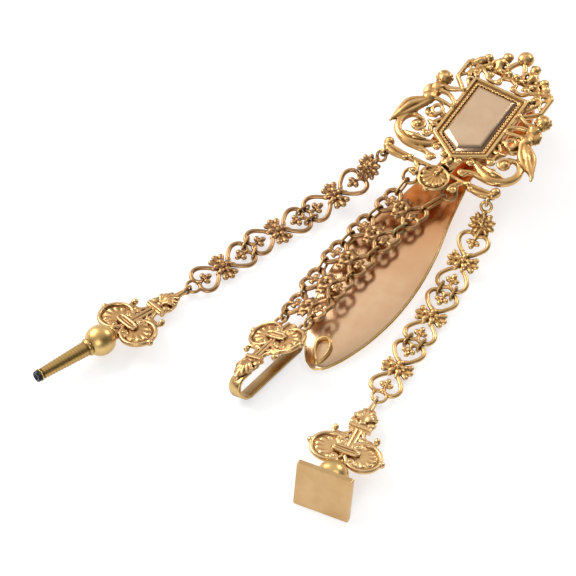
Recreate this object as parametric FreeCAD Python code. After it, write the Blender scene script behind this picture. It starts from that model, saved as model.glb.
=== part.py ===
"""A lady's chatelaine lying on a table: a cast plaque with a belt hook behind it, a bar below it,
two side chains of double-heart links that carry a watch key and a seal, and a middle chain of
crosswise links that carries a watch clip. Millimetres. The object is drawn with the plaque's
axis along Y and the table at z = 0, and is moved at the end so that its box stands on the origin."""
import FreeCAD, Part
import math
import os
from FreeCAD import Vector

# Plaque
SHIELD_HALF = 8.05
SHIELD_TOP = 14.0
SHIELD_SHOULDER = -8.2
SHIELD_POINT = -12.8
SHIELD_CORNER = 1.6
MOULD_WIDTH = 1.15
BEAD_ROW = 1.0
STRAP_WIDTH = 1.25
SCROLL_WIDTH = 1.4
PLAQUE_BACK = 11.25
PLATE_TOP = 12.8
MOULD_TOP = 14.5
BEAD_TOP = 13.7
FLOOR_OF_SHIELD = 12.5
HEAD_R = 2.05
BOSS_R = 2.3

# Tablet
TABLET_HALF = 5.75
TABLET_TOP_Y = 11.7
TABLET_SHOULDER = -6.4
TABLET_POINT = -9.9
TABLET_BEVEL = 1.2
TABLET_RISE = 1.5
TABLET_EDGE_Z = 13.1
TABLET_GAP = 0.05

# Belt hook, bent from one strip of sheet
SHEET = 0.9
HAIRPIN_R = 5.15
HAIRPIN_Y = 12.2
ARCH_Y = -20.0
ARCH_Z = 4.9
TIP_Y = -79.0
TONGUE_CURVE = 60.0
LEAF_HALF = 8.6
LEAF_END = -9.0
POST_R = 0.7
POST_ROOT = 0.5
POST_CLEAR = 0.06
RIVET_R = 1.25
RIVET_T = 0.5
LOOP_R = 1.8
LOOP_Y = 5.4
LOOP_WIRE = 0.45

# Bar under the plaque
BAR_X = -0.6
BAR_Y = -16.9
BAR_Z = 12.2
BAR_R = 0.95
BAR_HALF = 15.4
KNOB_R = 1.5
BAR_PLATE_T = 0.7
KNOB_Y = -15.5
EYE_R = 1.15
EYE_WIRE = 0.38
EYE_Y = -18.55
EYE_Z = 11.55
EYE_OUT = 15.1
END_EYE_AXES = {1: (1, 0.15, 0), -1: (0.82, -0.57, 0)}
CHAIN_EYE_OUT = 5.9
CHAIN_EYE_Y = -19.0
CHAIN_EYE_Z = 10.9
FAN_R = 3.9

# Double-heart links of the side chains
WIRE = 0.45
HEART_HALF = 3.9
HEART_LEVEL = 6.3
LOBE_R = 2.15
HEART_FOOT = (0.6, 1.8)
LINK_Z = 1.4
TREFOIL_R = 0.75
FLOWER_R = 0.95
RING_WIRE = 0.35
RING_HALF_HEIGHT = 1.0
RING_SLACK = 0.5
RING_X = 1.85
END_RING_R = 1.8
FIRST_RISE = math.radians(11)
ROSETTE_R = 3.7
ROSETTE_EYE_R = 1.35

# Crosswise links of the middle chain
CROSS_HALF = 3.6
CROSS_LEVEL = 4.4
CROSS_LOBE_R = 2.0
CROSS_FOOT = (0.6, 1.2)
CROSS_RING_HALF_HEIGHT = 1.3
CROSS_RING_WIRE = 0.36
ROUND_RING_R = 1.9

# Pendants: distances along the pendant from the middle of its bail
BAIL_R = 1.1
BAIL_WIRE = 0.38
HEAD_START = 3.2
COLLAR_AT = 10.1
CROSS_AT = 19.1
BALL_AT = 27.5
BALL_R = 3.95
SEAL_AT = 32.7
KEY_END = 47.3
DISC_R = 4.9
DISC_OUT = 4.5
DISC_T = 1.3
KNOB_OUT = 9.4
PIPE_TOP_R = 2.0
PIPE_END_R = 1.35
PIPE_PIN_R = 1.1
PIN_LENGTH = 2.3
FLAT_IN = 0.6
SOCKET = 1.3
SOCKET_DEPTH = 5.0
SEAL_SIDE = 14.4
SEAL_T = 1.3
STUD_R = 1.0
STUD_LENGTH = 0.8

# Watch clip
CLIP_REACH = 15.6
CLIP_BEND_R = 2.75
CLIP_SHEET = 0.75
CLIP_HALF = 2.25
CLIP_TOP = 3.0
CLIP_FRONT_BELOW = 0.9
CLIP_LIP_R = 2.0
CLIP_EYE_R = 1.3
CLIP_EYE_Y = 5.6

NEAR = 0.05


def ball(x, y, z, r):
    """A ball of two halves, so that its surface keeps an edge round the middle."""
    middle = Vector(x, y, z)
    up = Vector(0, 0, 1)
    upper = Part.makeSphere(r, middle, up, 0, 90, 360)
    lower = Part.makeSphere(r, middle, up, -90, 0, 360)
    return upper.fuse(lower).Solids[0]


def rod(a, b, r, r_end=None):
    """A cylinder or a cone from a to b."""
    a = Vector(*a)
    b = Vector(*b)
    way = b - a
    if r_end is None or abs(r_end - r) < 1e-6:
        return Part.makeCylinder(r, way.Length, a, way)
    return Part.makeCone(r, r_end, way.Length, a, way)


def limb(a, b, r, r_end):
    """A tapered rod with round ends."""
    return [ball(*a, r * 1.02), rod(a, b, r, r_end), ball(*b, r_end * 1.02)]


def merge(shapes):
    """One solid from several that overlap."""
    whole = shapes[0].multiFuse(shapes[1:])
    if len(whole.Solids) != 1:
        raise ValueError("the pieces do not join: %d solids" % len(whole.Solids))
    return whole.Solids[0]


def both_sides(make):
    """What make(1) and make(-1) give: the right side and the left side."""
    return make(1) + make(-1)


def across(points, side):
    """Points of the right side, moved to the left one when side is -1."""
    return [(side * p[0],) + tuple(p[1:]) for p in points]


def place(shape, at, along, up):
    """Moves a piece drawn at the origin: its Y goes along, its Z goes up as nearly as it can."""
    y = Vector(*along).normalize()
    x = y.cross(Vector(*up)).normalize()
    z = x.cross(y)
    m = FreeCAD.Matrix(x.x, y.x, z.x, at[0], x.y, y.y, z.y, at[1], x.z, y.z, z.z, at[2], 0, 0, 0, 1)
    moved = shape.copy()
    moved.Placement = FreeCAD.Placement(m).multiply(shape.Placement)
    return moved


def placed_point(point, at, along, up):
    """Where a point of a piece goes when place() moves the piece."""
    y = Vector(*along).normalize()
    x = y.cross(Vector(*up)).normalize()
    z = x.cross(y)
    return Vector(*at) + x * point[0] + y * point[1] + z * point[2]


def round_path(points, most=99.0):
    """Straight runs joined by tangent arcs, as tuples: ("line", a, b) or ("arc", a, b, centre, r, left)."""
    pts = [Vector(p[0], p[1], 0) for p in points]
    start = pts[0]
    parts = []
    for before, here, after in zip(pts, pts[1:], pts[2:]):
        u = (here - before).normalize()
        v = (after - here).normalize()
        turn = u.getAngle(v)
        run = min((here - before).Length, (after - here).Length)
        r = min(most, 0.45 * run / math.tan(turn / 2))
        cut = r * math.tan(turn / 2)
        a = here - u * cut
        b = here + v * cut
        left = (u.x * v.y - u.y * v.x) > 0
        side = Vector(-u.y, u.x, 0) if left else Vector(u.y, -u.x, 0)
        parts.append(("line", start, a))
        parts.append(("arc", a, b, a + side * r, r, left))
        start = b
    parts.append(("line", start, pts[-1]))
    return parts


def arc_edge(a, b, centre, r):
    middle = ((a + b) * 0.5 - centre).normalize() * r + centre
    return Part.Arc(a, middle, b).toShape()


def path_edges(parts, z):
    lift = Vector(0, 0, z)
    edges = []
    for part in parts:
        if part[0] == "line":
            edges.append(Part.LineSegment(part[1] + lift, part[2] + lift).toShape())
        else:
            edges.append(arc_edge(part[1] + lift, part[2] + lift, part[3] + lift, part[4]))
    return edges


def tube(points, r, z, most=99.0):
    """A round wire along a level route, with a ball at each end."""
    parts = round_path(points, most)
    edges = path_edges(parts, z)
    start = parts[0][1]
    way = parts[0][2] - start
    ring = Part.makeCircle(r, start + Vector(0, 0, z), way)
    pipe = Part.Wire(edges).makePipeShell([Part.Wire([ring])], True, True)
    end = parts[-1][2]
    return [pipe, ball(start.x, start.y, z, r * 1.06), ball(end.x, end.y, z, r * 1.06)]


def band(points, width, low, high, most=99.0):
    """A flat strap of one width along a level route, with round ends."""
    parts = round_path(points, most)
    half = width / 2
    sides = {1: [], -1: []}
    for part in parts:
        for side in (1, -1):
            if part[0] == "line":
                u = (part[2] - part[1]).normalize()
                off = Vector(-u.y, u.x, 0) * half * side
                sides[side].append(Part.LineSegment(part[1] + off, part[2] + off).toShape())
            else:
                centre, r, left = part[3], part[4], part[5]
                inner = (side == 1) == left
                r_side = r - half if inner else r + half
                a = centre + (part[1] - centre).normalize() * r_side
                b = centre + (part[2] - centre).normalize() * r_side
                sides[side].append(arc_edge(a, b, centre, r_side))
    first, last = parts[0], parts[-1]
    u = (last[2] - last[1]).normalize()
    n = Vector(-u.y, u.x, 0) * half
    end_cap = Part.Arc(last[2] + n, last[2] + u * half, last[2] - n).toShape()
    u = (first[2] - first[1]).normalize()
    n = Vector(-u.y, u.x, 0) * half
    start_cap = Part.Arc(first[1] - n, first[1] - u * half, first[1] + n).toShape()
    outline = sides[1] + [end_cap] + list(reversed(sides[-1])) + [start_cap]
    face = Part.Face(Part.Wire(Part.__sortEdges__(outline)))
    face.translate(Vector(0, 0, low))
    return face.extrude(Vector(0, 0, high - low))


def closed_outline(points, corners, low, high):
    """A prism over a polygon whose corners are rounded by the radii given (0 for a sharp one)."""
    pts = [Vector(p[0], p[1], 0) for p in points]
    count = len(pts)
    edges = []
    ends = []
    for i, here in enumerate(pts):
        before = pts[i - 1]
        after = pts[(i + 1) % count]
        u = (here - before).normalize()
        v = (after - here).normalize()
        r = corners[i]
        cut = r * math.tan(u.getAngle(v) / 2)
        a = here - u * cut
        b = here + v * cut
        if r:
            side = Vector(-u.y, u.x, 0) if u.x * v.y - u.y * v.x > 0 else Vector(u.y, -u.x, 0)
            edges.append(arc_edge(a, b, a + side * r, r))
        ends.append((a, b))
    for i in range(count):
        edges.append(Part.LineSegment(ends[i - 1][1], ends[i][0]).toShape())
    face = Part.Face(Part.Wire(Part.__sortEdges__(edges)))
    face.translate(Vector(0, 0, low))
    return face.extrude(Vector(0, 0, high - low))


def shield(half, top, shoulder, point, corner, low, high):
    """The plaque's shield: straight top and sides, and a pointed foot."""
    points = [(-half, top), (half, top), (half, shoulder), (0, point), (-half, shoulder)]
    return closed_outline(points, [0.4, 0.4, corner, corner * 0.6, corner], low, high)


def plaque_frame():
    """The moulding and the bead row round the tablet, on a closed back plate."""
    def ring(inset, width, top):
        outer = shield(SHIELD_HALF - inset, SHIELD_TOP - inset, SHIELD_SHOULDER + inset * 0.3,
                       SHIELD_POINT + inset * 1.1, SHIELD_CORNER, PLAQUE_BACK, top)
        inset += width
        hole = shield(SHIELD_HALF - inset, SHIELD_TOP - inset, SHIELD_SHOULDER + inset * 0.3,
                      SHIELD_POINT + inset * 1.1, SHIELD_CORNER, PLAQUE_BACK - 1, top + 1)
        return outer.cut(hole)
    back = shield(SHIELD_HALF - 0.3, SHIELD_TOP - 0.3, SHIELD_SHOULDER, SHIELD_POINT + 0.4,
                  SHIELD_CORNER, PLAQUE_BACK, FLOOR_OF_SHIELD)
    return [ring(0, MOULD_WIDTH, MOULD_TOP), ring(MOULD_WIDTH - 0.2, BEAD_ROW + 0.2, BEAD_TOP), back]


def plaque_straps():
    """The strapwork with square ears round the top, and the links that tie it to the shield."""
    low, high = PLAQUE_BACK, PLATE_TOP
    ear = [(5.0, 17.6), (12.1, 17.7), (12.2, 12.0), (9.6, 9.6), (7.8, 8.6)]
    inner = [(0.0, 17.9), (0.5, 16.0), (2.5, 15.2), (4.6, 16.0), (5.6, 17.8)]
    tie = [(8.6, 16.9), (9.6, 14.2), (8.6, 11.6), (7.8, 10.4)]
    loop = [(7.6, 3.2), (9.9, 4.2), (10.0, 1.4), (10.0, -1.7), (11.6, -2.6), (12.9, -0.6)]
    flank = [(7.8, -3.2), (9.6, -5.2), (9.3, -8.2), (11.2, -9.4)]
    straps = [(ear, STRAP_WIDTH, 0.7), (inner, 1.1, 1.6), (tie, 1.5, 99.0), (loop, 1.15, 1.0),
              (flank, 1.5, 1.4)]

    def one_side(side):
        return [band(across(points, side), width, low, high, most) for points, width, most in straps]
    return both_sides(one_side) + [Part.makeBox(20.4, 1.8, high - low, Vector(-10.2, 18.2, low))]


def plaque_crest():
    """The crest: a round boss on a stem between small seated creatures."""
    low, high = PLAQUE_BACK, PLATE_TOP
    z = (low + high) / 2 + 0.3
    leg = [(3.0, 19.4), (2.5, 22.0), (1.6, 24.9)]

    def one_side(s):
        return ([band(across(leg, s), 1.2, low, high), ball(s * 1.3, 19.5, high - 0.2, 0.85)]
                + limb((s * 4.1, 25.0, z), (s * 4.2, 21.0, z), 1.25, 1.6)
                + limb((s * 7.6, 22.4, z), (s * 9.4, 19.6, z), 1.05, 1.2)
                + limb((s * 5.2, 21.6, z), (s * 7.8, 20.0, z), 1.1, 1.15))
    boss = Part.makeCylinder(BOSS_R, high - low + 0.7, Vector(0, 26.7, low))
    dome = ball(0, 26.7, high - 1.2, BOSS_R * 0.95)
    stem = band([(0, 25.0), (0, 19.0)], 1.2, low, high)
    return both_sides(one_side) + [boss, dome, stem]


# Where each side figure's parts lie: torso, waist and the two points of the tail, x outwards
FIGURES = {
    1: {"head": (14.6, 9.4), "chest": (14.0, 6.0), "waist": (13.8, 1.6), "bend": (17.0, -3.0),
        "tail": (20.2, -7.0)},
    -1: {"head": (14.6, 9.2), "chest": (14.4, 5.6), "waist": (14.6, 1.4), "bend": (17.6, -3.6),
         "tail": (18.9, -9.0)},
}


def plaque_figures():
    """Two plain winged figures, one each side, that lean on the frame."""
    z = PLATE_TOP - 0.2
    shapes = []
    for side, f in FIGURES.items():
        def at(name, lift=0.0):
            return (side * f[name][0], f[name][1], z + lift)
        shapes.append(ball(*at("head", 0.25), HEAD_R))
        shapes += limb(at("head"), at("chest"), 1.0, 1.8)
        shapes += limb(at("chest"), at("waist"), 1.85, 1.5)
        shapes += limb(at("waist"), at("bend"), 1.55, 1.35)
        shapes += limb(at("bend"), at("tail"), 1.3, 0.6)
        elbow = (side * 11.2, 6.4, z + 0.2)
        shapes += limb(at("chest"), elbow, 0.85, 0.75)
        shapes += limb(elbow, (side * 8.2, 8.2, z), 0.75, 0.65)
        hand = (side * 9.2, 3.6, z)
        shapes += limb((side * 13.2, 4.2, z + 0.3), hand, 0.85, 0.7)
    return shapes


def plaque_scrolls():
    """The C-scrolls, bosses and small volutes round the foot of the shield."""
    low, high = PLAQUE_BACK, PLATE_TOP
    big = [(13.0, -5.0), (16.2, -5.6), (17.3, -9.4), (15.6, -12.3), (11.5, -12.7), (7.0, -11.0)]
    leaf = [(16.0, -13.0), (12.0, -13.9), (8.0, -13.0), (5.2, -13.0), (4.4, -15.0)]
    curl = [(12.4, -8.6), (10.6, -8.2), (9.0, -9.8), (6.4, -10.4)]
    bosses = [(12.7, -6.9, 1.75), (9.4, -8.0, 1.2), (2.2, -12.6, 1.15), (4.9, -11.6, 1.15),
              (4.5, -15.0, 1.1)]

    def one_side(s):
        shapes = [band(across(big, s), SCROLL_WIDTH, low, high, 3.0),
                  band(across(leaf, s), 1.2, low, high, 2.0), band(across(curl, s), 1.3, low, high, 1.2)]
        shapes += tube(across(big, s), 0.6, high - 0.1, 3.0)
        shapes += limb((s * 13.9, -12.7, high - 0.2), (s * 8.6, -11.9, high - 0.1), 1.0, 0.8)
        for x, y, r in bosses:
            shapes.append(Part.makeCylinder(r, high - low + 0.2, Vector(s * x, y, low)))
            shapes.append(ball(s * x, y, high - 0.15, r * 0.85))
        return shapes
    keystone = closed_outline([(-2.6, -11.6), (2.6, -11.6), (1.3, -15.2), (-1.3, -15.2)], [0, 0, 0.4, 0.4],
                              low, high + 0.4)
    return both_sides(one_side) + [keystone]


RIVETS = [(-5.0, 8.0), (5.0, 8.0), (0.0, -6.0)]
BAR_RIVET = (0.0, -13.4)


def plaque_posts():
    """Posts on the plaque's back, that pass through the hook's leaf and the bar's plate."""
    shapes = []
    leaf_low = PLAQUE_BACK - 2 * NEAR - SHEET
    plate_low = PLAQUE_BACK - NEAR - BAR_PLATE_T
    places = [(x, y, leaf_low - NEAR) for x, y in RIVETS] + [(BAR_RIVET[0], BAR_RIVET[1], plate_low - NEAR)]
    for x, y, low in places:
        shapes.append(Part.makeCylinder(POST_R, PLAQUE_BACK + POST_ROOT - low, Vector(x, y, low)))
        shapes.append(Part.makeCylinder(RIVET_R, RIVET_T, Vector(x, y, low - RIVET_T)))
    return shapes


def plaque():
    return merge(plaque_frame() + plaque_straps() + plaque_crest() + plaque_figures()
                 + plaque_scrolls() + plaque_posts())


def tablet():
    """The plain polished tablet, with broad bevels round a flat face."""
    def section(inset, z):
        h = TABLET_HALF - inset
        points = [(-h, TABLET_TOP_Y - inset), (h, TABLET_TOP_Y - inset), (h, TABLET_SHOULDER + inset * 0.6),
                  (0, TABLET_POINT + inset * 1.2), (-h, TABLET_SHOULDER + inset * 0.6)]
        return Part.makePolygon([Vector(x, y, z) for x, y in points + points[:1]])
    foot = section(0, FLOOR_OF_SHIELD + TABLET_GAP)
    edge = section(0, TABLET_EDGE_Z)
    face = section(TABLET_BEVEL, TABLET_EDGE_Z + TABLET_RISE)
    return Part.makeLoft([foot, edge, face], True, True)


def strip_profile():
    """The hook's bent strip seen from the side, as the middle line of the sheet in (y, z)."""
    top = SHEET / 2 + 2 * HAIRPIN_R
    centre_z = SHEET / 2 + HAIRPIN_R
    rise = centre_z - ARCH_Z
    reach = HAIRPIN_Y - ARCH_Y
    arch_r = (reach ** 2 + rise ** 2 - HAIRPIN_R ** 2) / (2 * (HAIRPIN_R - rise))
    tip_r = ((ARCH_Y - TIP_Y) ** 2 + (ARCH_Z - SHEET / 2) ** 2) / (2 * (ARCH_Z - SHEET / 2))
    return {"top": top, "hairpin": (HAIRPIN_Y, centre_z), "arch_r": arch_r, "tip_r": tip_r}


def side_arc(centre, r, a_deg, b_deg):
    """An arc in the plane x = 0 about (y, z), from angle a to angle b, counted from +Y to +Z."""
    def at(deg):
        a = math.radians(deg)
        return Vector(0, centre[0] + r * math.cos(a), centre[1] + r * math.sin(a))
    return Part.Arc(at(a_deg), at((a_deg + b_deg) / 2), at(b_deg)).toShape()


def tongue_half_width():
    """Right edge of the tongue in plan, from the hairpin to the tip: y and half width."""
    return [(HAIRPIN_Y + 8, 8.2), (6.0, 8.0), (-2.0, 5.6), (-9.0, 4.6), (-15.0, 5.6), (-25.0, 7.4),
            (-36.0, 9.8), (-47.0, 11.0), (-57.0, 10.5), (-66.0, 8.5), (-73.0, 5.6), (-77.0, 3.0),
            (-79.6, 0.9)]


def thick_strip(arcs, half, length_x):
    """A sheet as wide as length_x whose middle line is the arcs: (centre, r, from, to)."""
    outer = []
    inner = []
    for centre, r, a, b, sign in arcs:
        outer.append(side_arc(centre, r + half * sign, a, b))
        inner.append(side_arc(centre, r - half * sign, a, b))
    first = Part.LineSegment(outer[0].firstVertex(True).Point, inner[0].firstVertex(True).Point).toShape()
    last = Part.LineSegment(outer[-1].lastVertex(True).Point, inner[-1].lastVertex(True).Point).toShape()
    face = Part.Face(Part.Wire(Part.__sortEdges__(outer + inner + [first, last])))
    face.translate(Vector(-length_x / 2, 0, 0))
    return face.extrude(Vector(length_x, 0, 0))


def back_hook():
    """The belt hook: a leaf behind the plaque, a hairpin bend and a long leaf-shaped tongue."""
    p = strip_profile()
    half = SHEET / 2
    arch = (ARCH_Y, ARCH_Z - p["arch_r"])
    tip = (ARCH_Y, ARCH_Z - p["tip_r"])
    hairpin = p["hairpin"]
    joint = math.degrees(math.atan2(hairpin[1] - arch[1], hairpin[0] - arch[0]))
    tip_angle = 90 + math.degrees(math.asin((ARCH_Y - TIP_Y) / p["tip_r"]))
    strip = thick_strip([(tip, p["tip_r"], tip_angle, 90, 1), (arch, p["arch_r"], 90, joint, 1),
                         (hairpin, HAIRPIN_R, joint - 180, 90, -1)], half, 24)
    right = [(w, y) for y, w in tongue_half_width()]
    left = [(-x, y) for x, y in reversed(right)]
    sides = path_edges(round_path(right + left, TONGUE_CURVE), -1)
    closing = Part.LineSegment(Vector(*left[-1], -1), Vector(*right[0], -1)).toShape()
    plan = Part.Face(Part.Wire(Part.__sortEdges__(sides + [closing])))
    tongue = strip.common(plan.extrude(Vector(0, 0, 14)))
    leaf = closed_outline([(-LEAF_HALF, HAIRPIN_Y), (-LEAF_HALF, LEAF_END), (LEAF_HALF, LEAF_END),
                           (LEAF_HALF, HAIRPIN_Y)], [0, 2.0, 2.0, 0], p["top"] - half, p["top"] + half)
    for x, y in RIVETS:
        leaf = leaf.cut(Part.makeCylinder(POST_R + POST_CLEAR, 4, Vector(x, y, p["top"] - 2)))
    return merge([tongue, leaf] + tip_loop())


def tip_loop():
    """The teardrop of wire soldered near the tongue's tip."""
    at = (0.2, -77.6, 1.15)
    along = (-0.22, 0.93, 0.3)
    up = (-0.3, -0.2, 0.9)
    bow = Part.makeTorus(LOOP_R, LOOP_WIRE, Vector(0, LOOP_Y, 0), Vector(0, 0, 1), 0, 360, 180)

    def one_side(s):
        shoulder = (s * LOOP_R, LOOP_Y, 0)
        return [rod((0, 0, 0), shoulder, LOOP_WIRE), ball(*shoulder, LOOP_WIRE * 1.06)]
    foot = ball(0, 0, 0, LOOP_WIRE * 1.5)
    return [place(shape, at, along, up) for shape in [bow, foot] + both_sides(one_side)]


def eye(x, y, z, axis=(1, 0, 0)):
    """A small round eye that stands across the bar."""
    return Part.makeTorus(EYE_R, EYE_WIRE, Vector(x, y, z), Vector(*axis))


def suspension_bar():
    """The bar: two knobs, leaf buds, a rimmed fan in the middle, and four eyes for the chains."""
    z = BAR_Z
    curl = [(8.6, BAR_Y - 0.4), (6.4, BAR_Y - 0.8), (5.0, BAR_Y - 2.3), (5.0, BAR_Y - 4.2)]

    def one_side(s):
        shapes = [ball(s * BAR_HALF, BAR_Y + 0.1, z, BAR_R * 1.3),
                  ball(s * (BAR_HALF + 0.3), KNOB_Y, z, KNOB_R)]
        shapes.append(rod((s * 5.0, BAR_Y, z), (s * BAR_HALF, BAR_Y, z), BAR_R * 0.8, BAR_R * 1.1))
        shapes += limb((s * 12.6, BAR_Y - 0.6, z), (s * 9.4, BAR_Y - 1.5, z), 1.2, 0.8)
        shapes += [ball(s * 10.6, BAR_Y - 1.9, z, 1.1), ball(s * 8.4, BAR_Y - 0.4, z, 1.0)]
        shapes += tube(across(curl, s), 0.5, z + 0.3, 2.0)
        shapes += [eye(s * EYE_OUT, EYE_Y, EYE_Z, END_EYE_AXES[s]),
                   eye(s * CHAIN_EYE_OUT, CHAIN_EYE_Y, CHAIN_EYE_Z)]
        shapes.append(rod((s * CHAIN_EYE_OUT, BAR_Y - 0.2, z - 0.2),
                          (s * CHAIN_EYE_OUT, CHAIN_EYE_Y + EYE_R, CHAIN_EYE_Z + 0.1), 0.42))
        return shapes
    fan_y = BAR_Y - 3.0
    middle = [Part.makeCylinder(FAN_R, 1.2, Vector(0, fan_y, z - 0.6)),
              Part.makeTorus(FAN_R, 0.5, Vector(0, fan_y, z + 0.4)),
              ball(0, fan_y - FAN_R - 0.2, z + 0.3, 0.75)]
    for deg in (-150, -120, -90, -60, -30):
        a = math.radians(deg)
        end = ((FAN_R - 0.6) * math.cos(a), fan_y + 1.2 + (FAN_R - 0.2) * math.sin(a), z + 0.5)
        middle.append(rod((0.3 * math.cos(a), fan_y + 1.2, z + 0.5), end, 0.25, 0.62))
    middle.append(ball(0, fan_y + 1.4, z + 0.5, 0.85))
    middle.append(rod((0, fan_y + 1.2, z + 0.3), (0, BAR_Y + 0.6, z + 0.3), 0.9))
    middle.append(rod((-5.3, BAR_Y, z), (5.3, BAR_Y, z), BAR_R * 0.7))
    plate_high = PLAQUE_BACK - NEAR
    plate_low = plate_high - BAR_PLATE_T
    left, right = -1.9 - BAR_X, 1.9 - BAR_X
    plate = closed_outline([(left, BAR_Y - 0.4), (right, BAR_Y - 0.4), (right, -10.9), (left, -10.9)],
                           [0.3, 0.3, 1.2, 1.2], plate_low, plate_high)
    plate = plate.cut(Part.makeCylinder(POST_R + POST_CLEAR, 4, Vector(-BAR_X, BAR_RIVET[1], plate_high - 2)))
    drop = Part.makeBox(3.0, 1.2, z - plate_low, Vector(-1.5, BAR_Y - 0.6, plate_low))
    bar = merge(both_sides(one_side) + middle + [plate, drop])
    bar.translate(Vector(BAR_X, 0, 0))
    return bar


def heart(half, level, lobe, foot):
    """One heart of round wire, its point near the origin and its cusp up the Y axis."""
    width = half - foot[0]
    height = level - foot[1]
    side_r = (width ** 2 + height ** 2) / (2 * width)
    side_centre = Vector(half - side_r, level, 0)
    start = Vector(foot[0], foot[1], 0)
    widest = Vector(half, level, 0)
    lobe_centre = Vector(half - lobe, level, 0)
    end_angle = math.acos(-(half - lobe - 0.1) / lobe)
    end = lobe_centre + Vector(math.cos(end_angle), math.sin(end_angle), 0) * lobe
    top = lobe_centre + Vector(math.cos(end_angle / 2), math.sin(end_angle / 2), 0) * lobe
    first = arc_edge(start, widest, side_centre, side_r)
    second = Part.Arc(widest, top, end).toShape()
    way = Vector(0, 0, 1).cross(start - side_centre)
    ring = Part.makeCircle(WIRE, start, way)
    pipe = Part.Wire([first, second]).makePipeShell([Part.Wire([ring])], True, True)
    other = pipe.copy()
    other.rotate(Vector(0, 0, 0), Vector(0, 1, 0), 180)
    return [pipe, other, ball(0, end.y, 0, WIRE * 1.35)], end.y


def double_heart(half, level, lobe, foot, fan_out):
    """Two hearts point to point, a flower between them, fan leaves and trefoils."""
    shapes, cusp = heart(half, level, lobe, foot)
    stem = cusp - 1.3
    shapes.append(rod((0, cusp, 0), (0, stem, 0), 0.4))
    for x, y in [(0, stem - 2.4), (1.15, stem - 1.2), (-1.15, stem - 1.2)]:
        shapes.append(ball(x, y, 0, TREFOIL_R))
        shapes.append(rod((0, stem, 0), (x, y, 0), 0.4))
    turned = []
    for s in shapes:
        turned.append(s.copy())
        turned[-1].rotate(Vector(0, 0, 0), Vector(0, 0, 1), 180)
    shapes += turned
    for k in range(5):
        a = math.radians(90 + 72 * k)
        shapes.append(ball(1.35 * math.cos(a), 1.35 * math.sin(a), 0.1, FLOWER_R))
    shapes.append(ball(0, 0, 0.55, 0.75))
    if fan_out:
        for deg in (-24, 0, 24, 156, 180, 204):
            a = math.radians(deg)
            end = (fan_out * math.cos(a), fan_out * math.sin(a), 0.1)
            shapes += [rod((0.5 * math.cos(a), 0.5 * math.sin(a), 0.1), end, 0.4, 0.62), ball(*end, 0.66)]
    return merge(shapes)


def rosette():
    """A round flower of eight petals with a ring at its top edge."""
    shapes = [ball(0, 0, 0.5, 1.15), Part.makeCylinder(2.5, 1.0, Vector(0, 0, -0.5))]
    for k in range(8):
        a = math.radians(22.5 + 45 * k)
        out = Vector(math.cos(a), math.sin(a), 0)
        lift = Vector(0, 0, 0.1)
        shapes += limb(tuple(out + lift), tuple(out * 2.6 + lift), 0.55, 1.12)
    shapes.append(Part.makeTorus(ROSETTE_EYE_R, WIRE, Vector(0, ROSETTE_R + 1.0, 0)))
    return shapes


def stadium_ring(half_length, half_height, wire):
    """A long oval ring standing in the plane x = 0, its length along Y."""
    straight = half_length - half_height

    def one_end(s):
        bow = Part.makeTorus(half_height, wire, Vector(0, straight, 0), Vector(0, 0, 1), 0, 360, 180)
        if s < 0:
            bow.rotate(Vector(0, 0, 0), Vector(0, 0, 1), 180)
        return [bow, rod((s * half_height, -straight, 0), (s * half_height, straight, 0), wire)]
    ring = merge(both_sides(one_end))
    ring.rotate(Vector(0, 0, 0), Vector(0, 1, 0), 90)
    return ring


def joining_ring(a, b, up, slack, half_height, wire):
    """The oval ring that holds two wires together, whose middle lines pass through a and b."""
    half_length = (a - b).Length / 2 + WIRE + wire + NEAR + slack
    return place(stadium_ring(half_length, half_height, wire), tuple((a + b) * 0.5), tuple(a - b), up)


def between(frame, other):
    """The upright half-way between those of two links' frames."""
    return tuple(Vector(*frame[2]).normalize() + Vector(*other[2]).normalize())


# Middle of each double-heart link, from the plaque down, and the end towards which each chain runs
CHAINS = {
    "right": {"links": [(15.9, -32.6, 3.1), (17.2, -50.5, LINK_Z), (18.2, -68.5, LINK_Z)],
              "rosette": (15.2, -21.9, 7.0), "twist": (0.25, -0.75, 0.62)},
    "left": {"links": [(-22.6, -31.5, 3.1), (-29.6, -48.0, LINK_Z), (-35.3, -65.0, LINK_Z)],
             "rosette": (-18.2, -21.7, 7.5), "twist": (-0.25, -0.72, 0.6)},
}


def chain_frames(side):
    """Each link's place and the way up the chain: the first rises to the rosette, the others lie flat."""
    links = [Vector(*p) for p in CHAINS[side]["links"]]
    frames = []
    for i, at in enumerate(links):
        ahead = links[i - 1] - at if i else at - links[1]
        ahead.z = 0
        ahead.normalize()
        ahead.z = 0 if i else math.tan(FIRST_RISE)
        frames.append((tuple(at), tuple(ahead), (0, 0, 1)))
    return frames


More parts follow.
